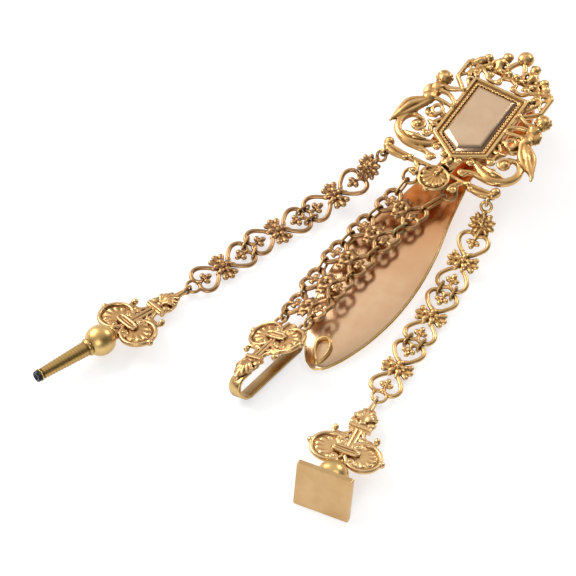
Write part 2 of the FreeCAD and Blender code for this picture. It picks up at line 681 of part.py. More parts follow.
def side_chain(side):
    """The links of one side chain, from the bar to the ring that holds the pendant."""
    plain = double_heart(HEART_HALF, HEART_LEVEL, LOBE_R, HEART_FOOT, 3.7)
    cusp = heart(HEART_HALF, HEART_LEVEL, LOBE_R, HEART_FOOT)[1]
    frames = chain_frames(side)
    nodes = {}
    first = place(plain, *frames[0])
    at = Vector(*CHAINS[side]["rosette"])
    bar_eye = Vector(BAR_X + (EYE_OUT if side == "right" else -EYE_OUT), EYE_Y, EYE_Z)
    way = (bar_eye - at).normalize()
    at = bar_eye - way * (ROSETTE_R + 1.0 + ROSETTE_EYE_R)
    flower = [place(s, tuple(at), tuple(way), CHAINS[side]["twist"]) for s in rosette()]
    top = placed_point((0, cusp, 0), *frames[0])
    neck = rod(tuple(at), tuple(top), 0.75, 0.55)
    nodes[side + "_link_1"] = merge([first, neck] + flower)
    nodes[side + "_link_2"] = place(plain, *frames[1])
    ring_at = cusp + END_RING_R - 0.1
    last = merge([plain, Part.makeTorus(END_RING_R, WIRE, Vector(0, -ring_at, 0)), ball(0, -cusp, 0, 0.7)])
    nodes[side + "_link_3"] = place(last, *frames[2])
    lobe_y = HEART_LEVEL + LOBE_R
    for i in (0, 1):
        for name, x in (("a", -RING_X), ("b", RING_X)):
            a = placed_point((x, -lobe_y, 0), *frames[i])
            b = placed_point((x, lobe_y, 0), *frames[i + 1])
            nodes["%s_ring_%d%s" % (side, i + 1, name)] = joining_ring(
                a, b, between(frames[i], frames[i + 1]), RING_SLACK, RING_HALF_HEIGHT, RING_WIRE)
    hold = placed_point((0, -ring_at - END_RING_R, 0), *frames[2])
    return nodes, hold


# Middle of each crosswise link of the middle chain, the way up the chain there, and its upright
CROSS_LINKS = [
    {"at": (-3.9, -29.9, 8.3), "along": (0.2, 1.0, 0.1), "up": (-0.05, 0, 1)},
    {"at": (-6.2, -39.8, 7.4), "along": (0.2, 1.0, 0.09), "up": (-0.15, 0, 1)},
    {"at": (-7.9, -49.5, 6.6), "along": (0.14, 1.0, 0.06), "up": (-0.2, 0, 1)},
    {"at": (-8.55, -58.8, 6.3), "along": (0.07, 1.0, 0.02), "up": (-0.32, 0, 1)},
    {"at": (-8.6, -67.5, 6.6), "along": (0.07, 1.0, 0.0), "up": (-0.42, 0.05, 0.9)},
]
CLIP_FRAME = ((-9.85, -79.8, 6.97), (0.158, 0.98, 0.0), (-0.46, 0.07, 0.88))


def middle_chain():
    """The crosswise links and the rings that join them down both edges."""
    plain = double_heart(CROSS_HALF, CROSS_LEVEL, CROSS_LOBE_R, CROSS_FOOT, 0)
    plain.rotate(Vector(0, 0, 0), Vector(0, 0, 1), 90)
    nodes = {}
    frames = [(c["at"], c["along"], c["up"]) for c in CROSS_LINKS]
    for i, frame in enumerate(frames):
        nodes["cross_link_%d" % (i + 1)] = place(plain, *frame)
    for name, x in (("a", -CROSS_LEVEL), ("b", CROSS_LEVEL)):
        for i in range(len(frames) - 1):
            a = placed_point((x, -CROSS_HALF, 0), *frames[i])
            b = placed_point((x, CROSS_HALF, 0), *frames[i + 1])
            nodes["cross_ring_%d%s" % (i + 1, name)] = joining_ring(
                a, b, between(frames[i], frames[i + 1]), 0.1, CROSS_RING_HALF_HEIGHT, CROSS_RING_WIRE)
        a = placed_point((x, -CROSS_HALF, 0), *frames[-1])
        b = placed_point((x, CLIP_EYE_Y + CLIP_EYE_R, 0), *CLIP_FRAME)
        nodes["clip_ring_" + name] = joining_ring(a, b, between(frames[-1], CLIP_FRAME), 0.1,
                                                  CROSS_RING_HALF_HEIGHT, CROSS_RING_WIRE)
        edge = placed_point((x, CROSS_HALF, 0), *frames[0])
        eye_x = BAR_X + (CHAIN_EYE_OUT if x > 0 else -CHAIN_EYE_OUT)
        eye_at = Vector(eye_x, CHAIN_EYE_Y, CHAIN_EYE_Z)
        way = (edge - eye_at).normalize()
        ring_at = eye_at + way * ROUND_RING_R
        ring = Part.makeTorus(ROUND_RING_R, WIRE, Vector(0, 0, 0))
        nodes["top_ring_" + name] = place(ring, tuple(ring_at), tuple(-way), (0, -0.5, 0.8))
        low = ring_at + way * ROUND_RING_R
        nodes["top_oval_" + name] = joining_ring(low, edge, (0, 0, 1), 0.1, 1.1, CROSS_RING_WIRE)
    return nodes


def fan_head():
    """The small fan between a pendant's bail and its collar."""
    outline = [(-0.8, -HEAD_START), (-3.5, -7.6), (-2.6, -COLLAR_AT + 0.2), (2.6, -COLLAR_AT + 0.2),
               (3.5, -7.6), (0.8, -HEAD_START)]
    shapes = [closed_outline(outline, [0.5, 1.0, 0.3, 0.3, 1.0, 0.5], -0.7, 0.7)]
    for deg in (38, 64, 90, 116, 142):
        a = math.radians(deg)
        reach = 5.0 if 50 < deg < 130 else 3.9
        end = (reach * math.cos(a) * 0.85, -8.0 + reach * math.sin(a) * 0.9, 0.45)
        shapes += [rod((0, -8.0, 0.45), end, 0.35, 0.62), ball(*end, 0.66)]
    shapes += [ball(x, -8.3, 0.1, 1.0) for x in (-3.2, 3.2)]
    shapes.append(ball(0, -8.1, 0.6, 0.8))
    return shapes


def ornament():
    """The cast ornament of a pendant: fan head, collar, ribbed stem, arms and the double palmette."""
    shapes = fan_head()
    shapes.append(Part.makeBox(5.8, 1.0, 2.2, Vector(-2.9, -COLLAR_AT - 0.5, -1.1)))
    arm = [(1.4, -COLLAR_AT - 0.2), (2.3, -COLLAR_AT - 2.6), (4.6, -COLLAR_AT - 3.5), (5.8, -COLLAR_AT - 3.0)]

    def one_side(s):
        sides = [rod((s * 0.55, -COLLAR_AT, 0), (s * 0.55, -CROSS_AT, 0), 0.75)]
        sides += tube(across(arm, s), 0.55, 0, 2.2)
        sides.append(ball(s * 5.5, -COLLAR_AT - 2.5, 0.1, 0.95))
        sides.append(Part.makeCylinder(DISC_R - 0.3, DISC_T, Vector(s * DISC_OUT, -CROSS_AT, -DISC_T / 2)))
        sides.append(Part.makeTorus(DISC_R - 0.6, 0.72, Vector(s * DISC_OUT, -CROSS_AT, 0.25)))
        for deg in (-72, -44, -15, 15, 44, 72):
            a = math.radians(deg)
            start = (s * (DISC_OUT - 1.2 + 0.6 * math.cos(a)), -CROSS_AT + 0.6 * math.sin(a), 0.5)
            end = (s * (DISC_OUT - 1.2 + 3.6 * math.cos(a)), -CROSS_AT + 3.2 * math.sin(a), 0.5)
            sides.append(rod(start, end, 0.25, 0.6))
        sides.append(ball(s * 2.6, -CROSS_AT + 2.3, 0.5, 0.85))
        sides.append(ball(s * 2.6, -CROSS_AT - 2.3, 0.5, 0.85))
        sides.append(ball(s * 3.0, -CROSS_AT, 1.0, 0.85))
        sides.append(ball(s * KNOB_OUT, -CROSS_AT, 0.1, 1.0))
        return sides
    return shapes + both_sides(one_side) + [rod((-3.0, -CROSS_AT, 1.0), (3.0, -CROSS_AT, 1.0), 0.75)]


def bail():
    return [Part.makeTorus(BAIL_R, BAIL_WIRE, Vector(0, 0, 0), Vector(1, 0, 0)),
            rod((0, -BAIL_R, 0), (0, -HEAD_START - 0.6, 0), 0.75, 0.9)]


def foot_ball():
    """The plain ball under the double palmette and the web that carries it."""
    web = closed_outline([(-2.6, -CROSS_AT), (2.6, -CROSS_AT), (1.7, -BALL_AT + 2.0), (-1.7, -BALL_AT + 2.0)],
                         [0, 0, 0, 0], -0.9, 0.9)
    return [web, ball(0, -BALL_AT, 0, BALL_R)]


def key_ornament():
    """The key's cast part: ornament, bail and ball, the ball cut flat and bored for the pipe's pin."""
    ball_end = -BALL_AT - BALL_R
    pin_hole = rod((0, ball_end - 1, 0), (0, ball_end + FLAT_IN + PIN_LENGTH, 0), PIPE_PIN_R + POST_CLEAR)
    flat = Part.makeBox(8, 2 + FLAT_IN, 8, Vector(-4, ball_end - 2, -4))
    return merge(ornament() + bail() + foot_ball()).cut(pin_hole).cut(flat).Solids[0]


def key_pipe():
    """The tapered pipe of the watch key, with a pin into the ball and a square socket."""
    start = -BALL_AT - BALL_R + FLAT_IN - NEAR
    pin = rod((0, start - 0.1, 0), (0, start + PIN_LENGTH - 0.3, 0), PIPE_PIN_R)
    body = rod((0, start, 0), (0, -KEY_END, 0), PIPE_TOP_R, PIPE_END_R)
    collar = Part.makeTorus(PIPE_TOP_R - 0.05, 0.25, Vector(0, start - 0.3, 0), Vector(0, 1, 0))
    lip = Part.makeTorus(PIPE_END_R, 0.12, Vector(0, -KEY_END + 1.0, 0), Vector(0, 1, 0))
    hole = Part.makeBox(SOCKET, SOCKET_DEPTH, SOCKET, Vector(-SOCKET / 2, -KEY_END - 0.01, -SOCKET / 2))
    return merge([pin, body, collar, lip]).cut(hole).Solids[0]


def seal_ornament():
    foot = rod((0, -BALL_AT, 0), (0, -SEAL_AT + NEAR, 0), 3.6, 4.6)
    stud = rod((0, -SEAL_AT + 0.5, 0), (0, -SEAL_AT - STUD_LENGTH, 0), STUD_R)
    return merge(ornament() + bail() + foot_ball() + [foot, stud])


def seal_plate():
    """The plain square plate on which a seal would be cut, with a blind hole for the stud."""
    half = SEAL_SIDE / 2
    plate = closed_outline([(-half, -half), (half, -half), (half, half), (-half, half)], [0.5] * 4, 0, SEAL_T)
    plate.rotate(Vector(0, 0, 0), Vector(1, 0, 0), 90)
    plate.translate(Vector(0, -SEAL_AT, 0))
    hole = rod((0, -SEAL_AT + 1, 0), (0, -SEAL_AT - STUD_LENGTH - NEAR, 0), STUD_R + POST_CLEAR)
    return plate.cut(hole).Solids[0]


def watch_clip():
    """The same ornament turned head down, with two eyes above it and a spring strip behind it."""
    shapes = ornament()
    shapes += limb((0, -HEAD_START - 1.5, -0.2), (0, -HEAD_START + 0.3, -0.5), 1.6, 1.2)
    front = merge(shapes)
    front.translate(Vector(0, CROSS_AT, 0))
    front.rotate(Vector(0, 0, 0), Vector(0, 0, 1), 180)
    eyes = [Part.makeTorus(CLIP_EYE_R, WIRE, Vector(x, CLIP_EYE_Y, 0)) for x in (-CROSS_LEVEL, CROSS_LEVEL)]
    half = CLIP_SHEET / 2
    width = 2 * CLIP_HALF
    front_z = -CLIP_FRONT_BELOW
    back_z = front_z - 2 * CLIP_BEND_R
    bend = thick_strip([((-CLIP_REACH, front_z - CLIP_BEND_R), CLIP_BEND_R, 90, 270, 1)], half, width)
    corner = Vector(-CLIP_HALF, -CLIP_REACH, back_z - half)
    back = Part.makeBox(width, CLIP_TOP + CLIP_REACH, CLIP_SHEET, corner)
    corner.z = front_z - half
    reach = Part.makeBox(width, 2.6, CLIP_SHEET, corner)
    lip = thick_strip([((CLIP_TOP, back_z + CLIP_LIP_R), CLIP_LIP_R, 270, 320, 1)], half, width)
    return merge([front, bend, back, reach, lip] + eyes)


def pendant_frame(bail_at, towards, roll_up):
    """Where a pendant lies: its bail, the way up it, and its upright."""
    up_way = Vector(*bail_at) - Vector(*towards)
    return (tuple(bail_at), tuple(up_way), roll_up)


def pendants(holds):
    nodes = {}
    key_ball_at = (-48.3, -102.9, BALL_R + 0.02)
    frame = pendant_frame(hold_bail(holds["left"], key_ball_at), key_ball_at, (-0.2, 0.08, 0.97))
    nodes["key_ornament"] = place(key_ornament(), *frame)
    nodes["key_pipe"] = place(key_pipe(), *frame)
    seal_centre = (23.6, -112.3, 7.15)
    frame = pendant_frame(hold_bail(holds["right"], seal_centre), seal_centre, (0.0, 0.0, 1.0))
    nodes["seal_ornament"] = place(seal_ornament(), *frame)
    nodes["seal_plate"] = place(seal_plate(), *frame)
    nodes["watch_clip"] = place(watch_clip(), *CLIP_FRAME)
    return nodes


def hold_bail(ring_point, towards):
    """The bail's middle: just past the wire of the ring that holds it."""
    way = (Vector(*towards) - ring_point).normalize()
    middle = ring_point + way * 0.1
    middle.z = BAIL_R + BAIL_WIRE + 0.03
    return middle


def build():
    nodes = {"plaque": plaque(), "tablet": tablet(), "back_hook": back_hook(),
             "suspension_bar": suspension_bar()}
    holds = {}
    for side in ("left", "right"):
        links, holds[side] = side_chain(side)
        nodes.update(links)
    nodes.update(middle_chain())
    nodes.update(pendants(holds))
    return nodes


def main():
    nodes = build()
    box = FreeCAD.BoundBox()
    for shape in nodes.values():
        box.add(shape.optimalBoundingBox(False))
    shift = Vector(-box.Center.x, -box.Center.y, -box.ZMin)
    os.makedirs("parts", exist_ok=True)
    for name, shape in nodes.items():
        moved = shape.copy()
        moved.translate(shift)
        print(name, len(moved.Solids), moved.isValid(), round(moved.Volume, 1))
        moved.exportStep("parts/%s.step" % name)
    print("shift", shift, "size", box.XLength, box.YLength, box.ZLength)


main()
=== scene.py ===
"""Looks of the chatelaine: cast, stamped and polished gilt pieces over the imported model.
Shapes are drawn in millimetres in the layout frame, where the plaque's axis is Y and the table is
z = 0, and are moved to the model's frame, in metres, when a piece is finished."""
import math
from functools import partial

import bmesh
import bpy
from mathutils import Matrix, Vector


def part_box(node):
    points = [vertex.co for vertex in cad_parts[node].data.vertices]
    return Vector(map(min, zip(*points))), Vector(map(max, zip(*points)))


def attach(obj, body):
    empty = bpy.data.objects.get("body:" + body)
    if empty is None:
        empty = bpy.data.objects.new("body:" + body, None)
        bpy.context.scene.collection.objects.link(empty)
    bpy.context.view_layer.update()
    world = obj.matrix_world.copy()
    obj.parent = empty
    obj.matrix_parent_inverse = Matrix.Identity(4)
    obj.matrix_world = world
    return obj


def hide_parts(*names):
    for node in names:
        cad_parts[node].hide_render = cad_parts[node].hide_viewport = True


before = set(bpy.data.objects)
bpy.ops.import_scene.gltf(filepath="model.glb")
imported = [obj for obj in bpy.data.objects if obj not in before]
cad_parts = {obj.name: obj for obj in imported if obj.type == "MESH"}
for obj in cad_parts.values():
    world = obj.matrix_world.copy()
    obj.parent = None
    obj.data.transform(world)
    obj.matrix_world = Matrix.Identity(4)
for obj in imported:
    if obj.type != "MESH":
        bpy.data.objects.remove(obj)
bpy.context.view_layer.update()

MM = 0.001
PLAQUE_BACK = 11.25
TABLET_TOP_Y = 11.7
TABLET_LOW = 12.55

# The layout frame's origin in the model's frame, found from the tablet
low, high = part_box("tablet")
SHIFT = Vector(((low[0] + high[0]) / 2 / MM, high[1] / MM - TABLET_TOP_Y, low[2] / MM - TABLET_LOW))

CAMERA_AZIMUTH = 32.0
CAMERA_ELEVATION = 53.6
CAMERA_DISTANCE = 875.0
CAMERA_LOOKS_AT = (-18.45, -61.05, 0.0)
CAMERA_LENS = 216.6


def model_point(point):
    """A point of the layout frame, in metres in the model's frame."""
    return (Vector(point) + SHIFT) * MM


def make_camera():
    """A long lens, low enough that the seal's plate shows its face and the plaque is foreshortened."""
    data = bpy.data.cameras.new("camera")
    data.lens = CAMERA_LENS
    data.sensor_width = 36.0
    data.clip_start = 0.05
    data.clip_end = 20.0
    camera = bpy.data.objects.new("camera", data)
    bpy.context.scene.collection.objects.link(camera)
    azimuth = math.radians(CAMERA_AZIMUTH)
    elevation = math.radians(CAMERA_ELEVATION)
    back = Vector((math.sin(azimuth) * math.cos(elevation), -math.cos(azimuth) * math.cos(elevation),
                   math.sin(elevation)))
    camera.location = model_point(Vector(CAMERA_LOOKS_AT) + back * CAMERA_DISTANCE)
    camera.rotation_euler = (-back).to_track_quat("-Z", "Y").to_euler()
    bpy.context.scene.camera = camera


def polar(r, deg, centre=(0, 0)):
    """The x and y of a point at an angle round a centre."""
    a = math.radians(deg)
    return (centre[0] + r * math.cos(a), centre[1] + r * math.sin(a))


def level_ring(r, centre, z, count=12):
    """Points of a level circle."""
    return [polar(r, 360 * k / count, centre) + (z,) for k in range(count)]


def smooth_route(points, steps=6, closed=False):
    """Points of a smooth line through the given ones."""
    points = [Vector(p) for p in points]
    count = len(points)
    if count < 3 and not closed:
        return points
    route = []
    spans = count if closed else count - 1
    for i in range(spans):
        if closed:
            before, here, after, beyond = (points[(i + k) % count] for k in (-1, 0, 1, 2))
        else:
            here, after = points[i], points[i + 1]
            before = points[i - 1] if i else here * 2 - after
            beyond = points[i + 2] if i + 2 < count else after * 2 - here
        for k in range(steps):
            t = k / steps
            route.append(0.5 * (2 * here + (after - before) * t
                                + (2 * before - 5 * here + 4 * after - beyond) * t * t
                                + (3 * here - before - 3 * after + beyond) * t ** 3))
    if not closed:
        route.append(points[-1])
    return route


def spiral(centre, r_out, r_in, start_deg, turns, z):
    """Points of a flat volute that winds in; positive turns are counter-clockwise."""
    steps = max(6, int(abs(turns) * 14))
    points = []
    for k in range(steps + 1):
        t = k / steps
        points.append(Vector(polar(r_out + (r_in - r_out) * t, start_deg + 360 * turns * t, centre) + (z,)))
    return points


def flip(points, side):
    """Points of the right side, moved to the left one when side is -1."""
    return [Vector((side * p[0], p[1], p[2])) for p in points]


def join_rings(shape, rings, closed=False):
    """Faces between rings of points that follow one another, and over both ends of an open run."""
    sides = len(rings[0])
    pairs = list(zip(rings, rings[1:]))
    if closed:
        pairs.append((rings[-1], rings[0]))
    for one, two in pairs:
        for k in range(sides):
            shape.faces.new((one[k], one[(k + 1) % sides], two[(k + 1) % sides], two[k]))
    if not closed:
        shape.faces.new(rings[0][::-1])
        shape.faces.new(rings[-1])


def new_piece(name, shape):
    """A piece of the scene, made from drawn shapes."""
    mesh = bpy.data.meshes.new(name)
    shape.to_mesh(mesh)
    shape.free()
    piece = bpy.data.objects.new(name, mesh)
    bpy.context.scene.collection.objects.link(piece)
    return piece


def keep_changes(piece):
    """Turns what the piece's modifiers do into its own mesh."""
    bpy.context.view_layer.update()
    made = bpy.data.meshes.new_from_object(piece.evaluated_get(bpy.context.evaluated_depsgraph_get()))
    piece.modifiers.clear()
    piece.data = made


class Casting:
    """Overlapping solids that are melted into one cast surface; full makes wires and balls stouter."""

    def __init__(self, full=1.0):
        self.shape = bmesh.new()
        self.full = full

    def ball(self, at, r, stretch=(1, 1, 1), turn=0.0):
        """A ball, or an egg shape when it is stretched along its axes and turned."""
        place = Matrix.Translation(Vector(at)) @ Matrix.Rotation(math.radians(turn), 4, "Z")
        r *= self.full
        place = place @ Matrix.Diagonal((r * stretch[0], r * stretch[1], r * stretch[2], 1))
        bmesh.ops.create_icosphere(self.shape, subdivisions=2, radius=1, matrix=place)

    def wire(self, points, r, closed=False, flat=1.0, sides=8, steps=5, ends=True):
        """A round or flattened wire along a smooth line; r is one radius or a list to run through."""
        route = smooth_route(points, steps, closed)
        radii = r if isinstance(r, (list, tuple)) else [r, r]
        count = len(route)
        rings = []
        for i, here in enumerate(route):
            ahead = route[(i + 1) % count] if closed or i + 1 < count else here
            behind = route[i - 1] if closed or i else here
            way = (ahead - behind).normalized()
            across = way.cross(Vector((0, 0, 1)))
            if across.length < 1e-3:
                across = Vector((1, 0, 0))
            across.normalize()
            rise = across.cross(way)
            t = i / max(1, count - 1) * (len(radii) - 1)
            k = min(int(t), len(radii) - 2)
            radius = (radii[k] + (radii[k + 1] - radii[k]) * (t - k)) * self.full
            ring = []
            for j in range(sides):
                a = 2 * math.pi * j / sides
                ring.append(self.shape.verts.new(here + across * radius * math.cos(a)
                                                 + rise * radius * flat * math.sin(a)))
            rings.append(ring)
        join_rings(self.shape, rings, closed)
        if ends and not closed:
            self.ball(route[0], radii[0] * 1.02, (1, 1, flat))
            self.ball(route[-1], radii[-1] * 1.02, (1, 1, flat))

    def limb(self, a, b, r_a, r_b):
        """A straight round bar that tapers from one end to the other."""
        self.wire([a, b], [r_a, r_b], steps=1, sides=10)

    def slab(self, outline, base, top):
        """A flat plate over an outline."""
        foot = [self.shape.verts.new((p[0], p[1], base)) for p in outline]
        head = [self.shape.verts.new((p[0], p[1], top)) for p in outline]
        join_rings(self.shape, [foot, head])

    def beads(self, route, r, pitch):
        """A row of beads at an even pitch along the straight runs of a closed line."""
        points = [Vector(p) for p in route]
        points.append(points[0])
        left_over = 0.0
        for a, b in zip(points, points[1:]):
            run = (b - a).length
            at = left_over
            while at < run:
                self.ball(a + (b - a) * (at / run), r)
                at += pitch
            left_over = at - run

    def volute(self, centre, r, start_deg, turns, z, thick):
        """A scroll that winds in to a small boss."""
        self.wire(spiral(centre, r, r * 0.3, start_deg, turns, z), [thick, thick * 0.7], steps=2)
        self.ball((centre[0], centre[1], z + thick * 0.3), thick * 1.15)

    def leaf(self, points, width, z_thick=0.5):
        """A leaf with a rib and lobes down both sides, from its stalk to its tip."""
        route = smooth_route(points, 5)
        count = len(route)
        self.wire(points, [width * 0.26, width * 0.36, width * 0.14], flat=1.1)
        for i in range(1, count - 1, 2):
            t = i / (count - 1)
            way = (route[i + 1] - route[i - 1]).normalized()
            across = way.cross(Vector((0, 0, 1))).normalized()
            reach = width * 0.36 * math.sin(math.pi * (0.15 + 0.8 * t))
            for side in (1, -1):
                tip = route[i] + across * side * reach + way * reach * 0.6
                self.wire([route[i], tip], [z_thick * 0.7, z_thick * 0.95], steps=1, flat=0.85)

    def petals(self, centre, r, count, petal):
        """Long petals that run out from a centre."""
        x, y, z = centre
        for k in range(count):
            deg = 90.0 + 360 * k / count
            self.ball(polar(r * 0.6, deg, (x, y)) + (z + 0.1,), petal, (r * 0.42 / petal, 1.0, 0.75), deg)

    def add_moved(self, other, place):
        """Takes in another casting's shapes, moved by a matrix."""
        mesh = bpy.data.meshes.new("moved")
        other.shape.to_mesh(mesh)
        other.shape.free()
        mesh.transform(place)
        self.shape.from_mesh(mesh)
        bpy.data.meshes.remove(mesh)

    def finish(self, name, nodes, voxel, material, place=None, rounds=2):
        """Melts the shapes together, smooths them a little and makes the piece."""
        self.shape.normal_update()
        piece = new_piece(name, self.shape)
        melt = piece.modifiers.new("melt", "REMESH")
        melt.mode = "VOXEL"
        melt.voxel_size = voxel
        melt.use_smooth_shade = True
        even = piece.modifiers.new("even", "SMOOTH")
        even.factor = 0.5
        even.iterations = rounds
        keep_changes(piece)
        finish_piece(piece, nodes, material, place)


def finish_piece(piece, nodes, material, place=None):
    """Moves a drawn piece to its place in the model and ties it to the nodes that it stands for."""
    move = Matrix.Scale(MM, 4) @ Matrix.Translation(SHIFT) @ (place or Matrix.Identity(4))
    piece.data.transform(move)
    for face in piece.data.polygons:
        face.use_smooth = True
    piece.data.materials.clear()
    piece.data.materials.append(material)
    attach(piece, "root")
    if nodes:
        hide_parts(*nodes)


def placing(at, along, up):
    """The matrix that sets a piece drawn at the origin: its Y along, its Z up."""
    y = Vector(along).normalized()
    x = y.cross(Vector(up)).normalized()
    z = x.cross(y)
    turn = Matrix((x, y, z)).transposed().to_4x4()
    return Matrix.Translation(Vector(at)) @ turn


def srgb(text):
    """A colour written as in a web page, in the linear values that shaders take."""
    values = [int(text[i:i + 2], 16) / 255 for i in (1, 3, 5)]
    return tuple(v / 12.92 if v <= 0.04045 else ((v + 0.055) / 1.055) ** 2.4 for v in values) + (1.0,)


def grey(value):
    return (value, value, value, 1.0)


def add_node(tree, kind, settings=None, links=None, stops=()):
    """Adds a node with its own settings, what each of its sockets takes, and its ramp's stops."""
    node = tree.nodes.new(kind)
    for key, value in (settings or {}).items():
        setattr(node, key, value)
    for key, value in (links or {}).items():
        if isinstance(value, bpy.types.NodeSocket):
            tree.links.new(value, node.inputs[key])
        else:
            node.inputs[key].default_value = value
    for k, (place, colour) in enumerate(stops):
        elements = node.color_ramp.elements
        element = elements[k] if k < 2 else elements.new(place)
        element.position = place
        element.color = colour
    return node


RAMP = "ShaderNodeValToRGB"
NOISE = "ShaderNodeTexNoise"
BUMP = "ShaderNodeBump"
MIX = "ShaderNodeMix"
MIX_COLOURS = {"data_type": "RGBA"}
# The sockets of a colour mix: how much, the first colour, the second; and the mixed colour
SHARE, FIRST, SECOND, MIXED = 0, 6, 7, 2


def per_mm(size_mm):
    """The noise scale that makes lumps about size_mm across."""
    return 1 / (size_mm * MM)


def new_finish(name, metallic=1.0):
    """A material with its node tree and its surface shader."""
    material = bpy.data.materials.new(name)
    material.use_nodes = True
    tree = material.node_tree
    surface = tree.nodes["Principled BSDF"]
    surface.inputs["Metallic"].default_value = metallic
    return material, tree, surface


def cast_gilt(name, bright, middle, patina_and_painted_shade, roughness=0.34, shade_reach_mm=1.0):
    """Cast and gilt brass: high places are lighter, partly rubbed wear and partly a painted highlight;
    hollows and creases are brown, partly patina and partly painted shade.
    Its grain, 0.6 mm across, is coarser than a real casting's, which wouldn't show."""
    material, tree, surface = new_finish(name)
    add = partial(add_node, tree)
    where = add("ShaderNodeTexCoord").outputs["Object"]
    sky = add("ShaderNodeAmbientOcclusion", {"samples": 6}, {"Distance": shade_reach_mm * MM}).outputs["AO"]
    shape = add("ShaderNodeNewGeometry").outputs["Pointiness"]
    patches = add(NOISE, links={"Vector": where, "Scale": per_mm(2.6), "Detail": 3.0})
    grain = add(NOISE, links={"Vector": where, "Scale": per_mm(0.5), "Detail": 3.0})
    pits = add(NOISE, links={"Vector": where, "Scale": per_mm(0.6), "Detail": 3.0})
    # Painted highlight: convex places, found by pointiness, turn toward the bright colour, which also stands
    # for rubbed wear
    highlit_and_worn = add(RAMP, links={"Fac": shape}, stops=[(0.495, grey(0)), (0.53, grey(1))])
    # Painted shade: creases, found by pointiness, and hollows that ambient occlusion finds turn toward the
    # dark recess colour, partly a real brown patina
    crease_shade = add(RAMP, links={"Fac": shape}, stops=[(0.462, grey(0)), (0.497, grey(1))])
    hollow_shade = add(RAMP, links={"Fac": sky}, stops=[(0.4, grey(0)), (0.88, grey(1))])
    unshaded = add(MIX, {"data_type": "RGBA", "blend_type": "MULTIPLY"},
                {SHARE: 1.0, FIRST: hollow_shade.outputs["Color"], SECOND: crease_shade.outputs["Color"]})
    cloud = add(RAMP, links={"Fac": patches.outputs["Fac"]}, stops=[(0.35, grey(0)), (0.7, grey(0.35))])
    highlit_and_rubbed = add(MIX, MIX_COLOURS, {SHARE: highlit_and_worn.outputs["Color"], FIRST: middle, SECOND: bright})
    clouded = add(MIX, MIX_COLOURS, {SHARE: cloud.outputs["Color"], FIRST: highlit_and_rubbed.outputs[MIXED],
                                     SECOND: middle})
    metal = add(MIX, MIX_COLOURS, {SHARE: unshaded.outputs[MIXED], FIRST: patina_and_painted_shade,
                                   SECOND: clouded.outputs[MIXED]})
    tree.links.new(metal.outputs[MIXED], surface.inputs["Base Color"])
    rough = add(RAMP, links={"Fac": grain.outputs["Fac"]},
                stops=[(0.3, grey(roughness * 0.8)), (0.75, grey(roughness * 1.35))])
    tree.links.new(rough.outputs["Color"], surface.inputs["Roughness"])
    skin = add(BUMP, links={"Height": pits.outputs["Fac"], "Distance": 0.02 * MM, "Strength": 0.35})
    tree.links.new(skin.outputs["Normal"], surface.inputs["Normal"])
    return material


def polished_sheet(name, colour, shade, roughness, streak=(1, 1, 1), painted_reflection=None):
    """Gilt brass rolled or turned and then polished: broad soft clouds in its colour, and faint uneven
    streaks that blur what it mirrors. A painted reflection, when given, is a colour and the two distances
    along Y between which it comes in: what lies over the sheet, painted on as its mirror image."""
    material, tree, surface = new_finish(name)
    add = partial(add_node, tree)
    where = add("ShaderNodeTexCoord").outputs["Object"]
    drawn = add("ShaderNodeMapping", links={"Vector": where, "Scale": streak}).outputs["Vector"]
    patches = add(NOISE, links={"Vector": where, "Scale": per_mm(7.0), "Detail": 4.0})
    wear = add(NOISE, links={"Vector": drawn, "Scale": per_mm(2.2), "Detail": 3.0})
    waves = add(NOISE, links={"Vector": drawn, "Scale": per_mm(2.5), "Detail": 2.0})
    cloud = add(RAMP, links={"Fac": patches.outputs["Fac"]}, stops=[(0.35, grey(0)), (0.7, grey(1))])
    metal = add(MIX, MIX_COLOURS, {SHARE: cloud.outputs["Color"], FIRST: colour, SECOND: shade})
    # Painted reflection: the sheet turns toward the given colour along Y, where the plaque and chain over it
    # are mirrored
    if painted_reflection:
        reflected_colour, start, full = painted_reflection
        along = add("ShaderNodeSeparateXYZ", links={"Vector": where}).outputs["Y"]
        reach = add("ShaderNodeMapRange", links={"Value": along, "From Min": (start + SHIFT.y) * MM,
                                                 "From Max": (full + SHIFT.y) * MM})
        metal = add(MIX, MIX_COLOURS, {SHARE: reach.outputs["Result"], FIRST: metal.outputs[MIXED],
                                       SECOND: reflected_colour})
    tree.links.new(metal.outputs[MIXED], surface.inputs["Base Color"])
    rough = add(RAMP, links={"Fac": wear.outputs["Fac"]},
                stops=[(0.3, grey(roughness * 0.85)), (0.75, grey(roughness * 1.25))])
    tree.links.new(rough.outputs["Color"], surface.inputs["Roughness"])
    skin = add(BUMP, links={"Height": waves.outputs["Fac"], "Distance": 0.01 * MM, "Strength": 0.06})
    tree.links.new(skin.outputs["Normal"], surface.inputs["Normal"])
    return material


def dark_steel(name):
    """Filed steel, browned by age: dark grey, with pits that catch small lights."""
    material, tree, surface = new_finish(name)
    add = partial(add_node, tree)
    where = add("ShaderNodeTexCoord").outputs["Object"]
    patches = add(NOISE, links={"Vector": where, "Scale": per_mm(0.8), "Detail": 4.0})
    pits = add(NOISE, links={"Vector": where, "Scale": per_mm(0.3), "Detail": 3.0})
    cloud = add(RAMP, links={"Fac": patches.outputs["Fac"]},
                stops=[(0.3, srgb("#26272B")), (0.7, srgb("#5A5C60"))])
    tree.links.new(cloud.outputs["Color"], surface.inputs["Base Color"])
    surface.inputs["Roughness"].default_value = 0.38
    skin = add(BUMP, links={"Height": pits.outputs["Fac"], "Distance": 0.02 * MM, "Strength": 0.5})
    tree.links.new(skin.outputs["Normal"], surface.inputs["Normal"])
    return material


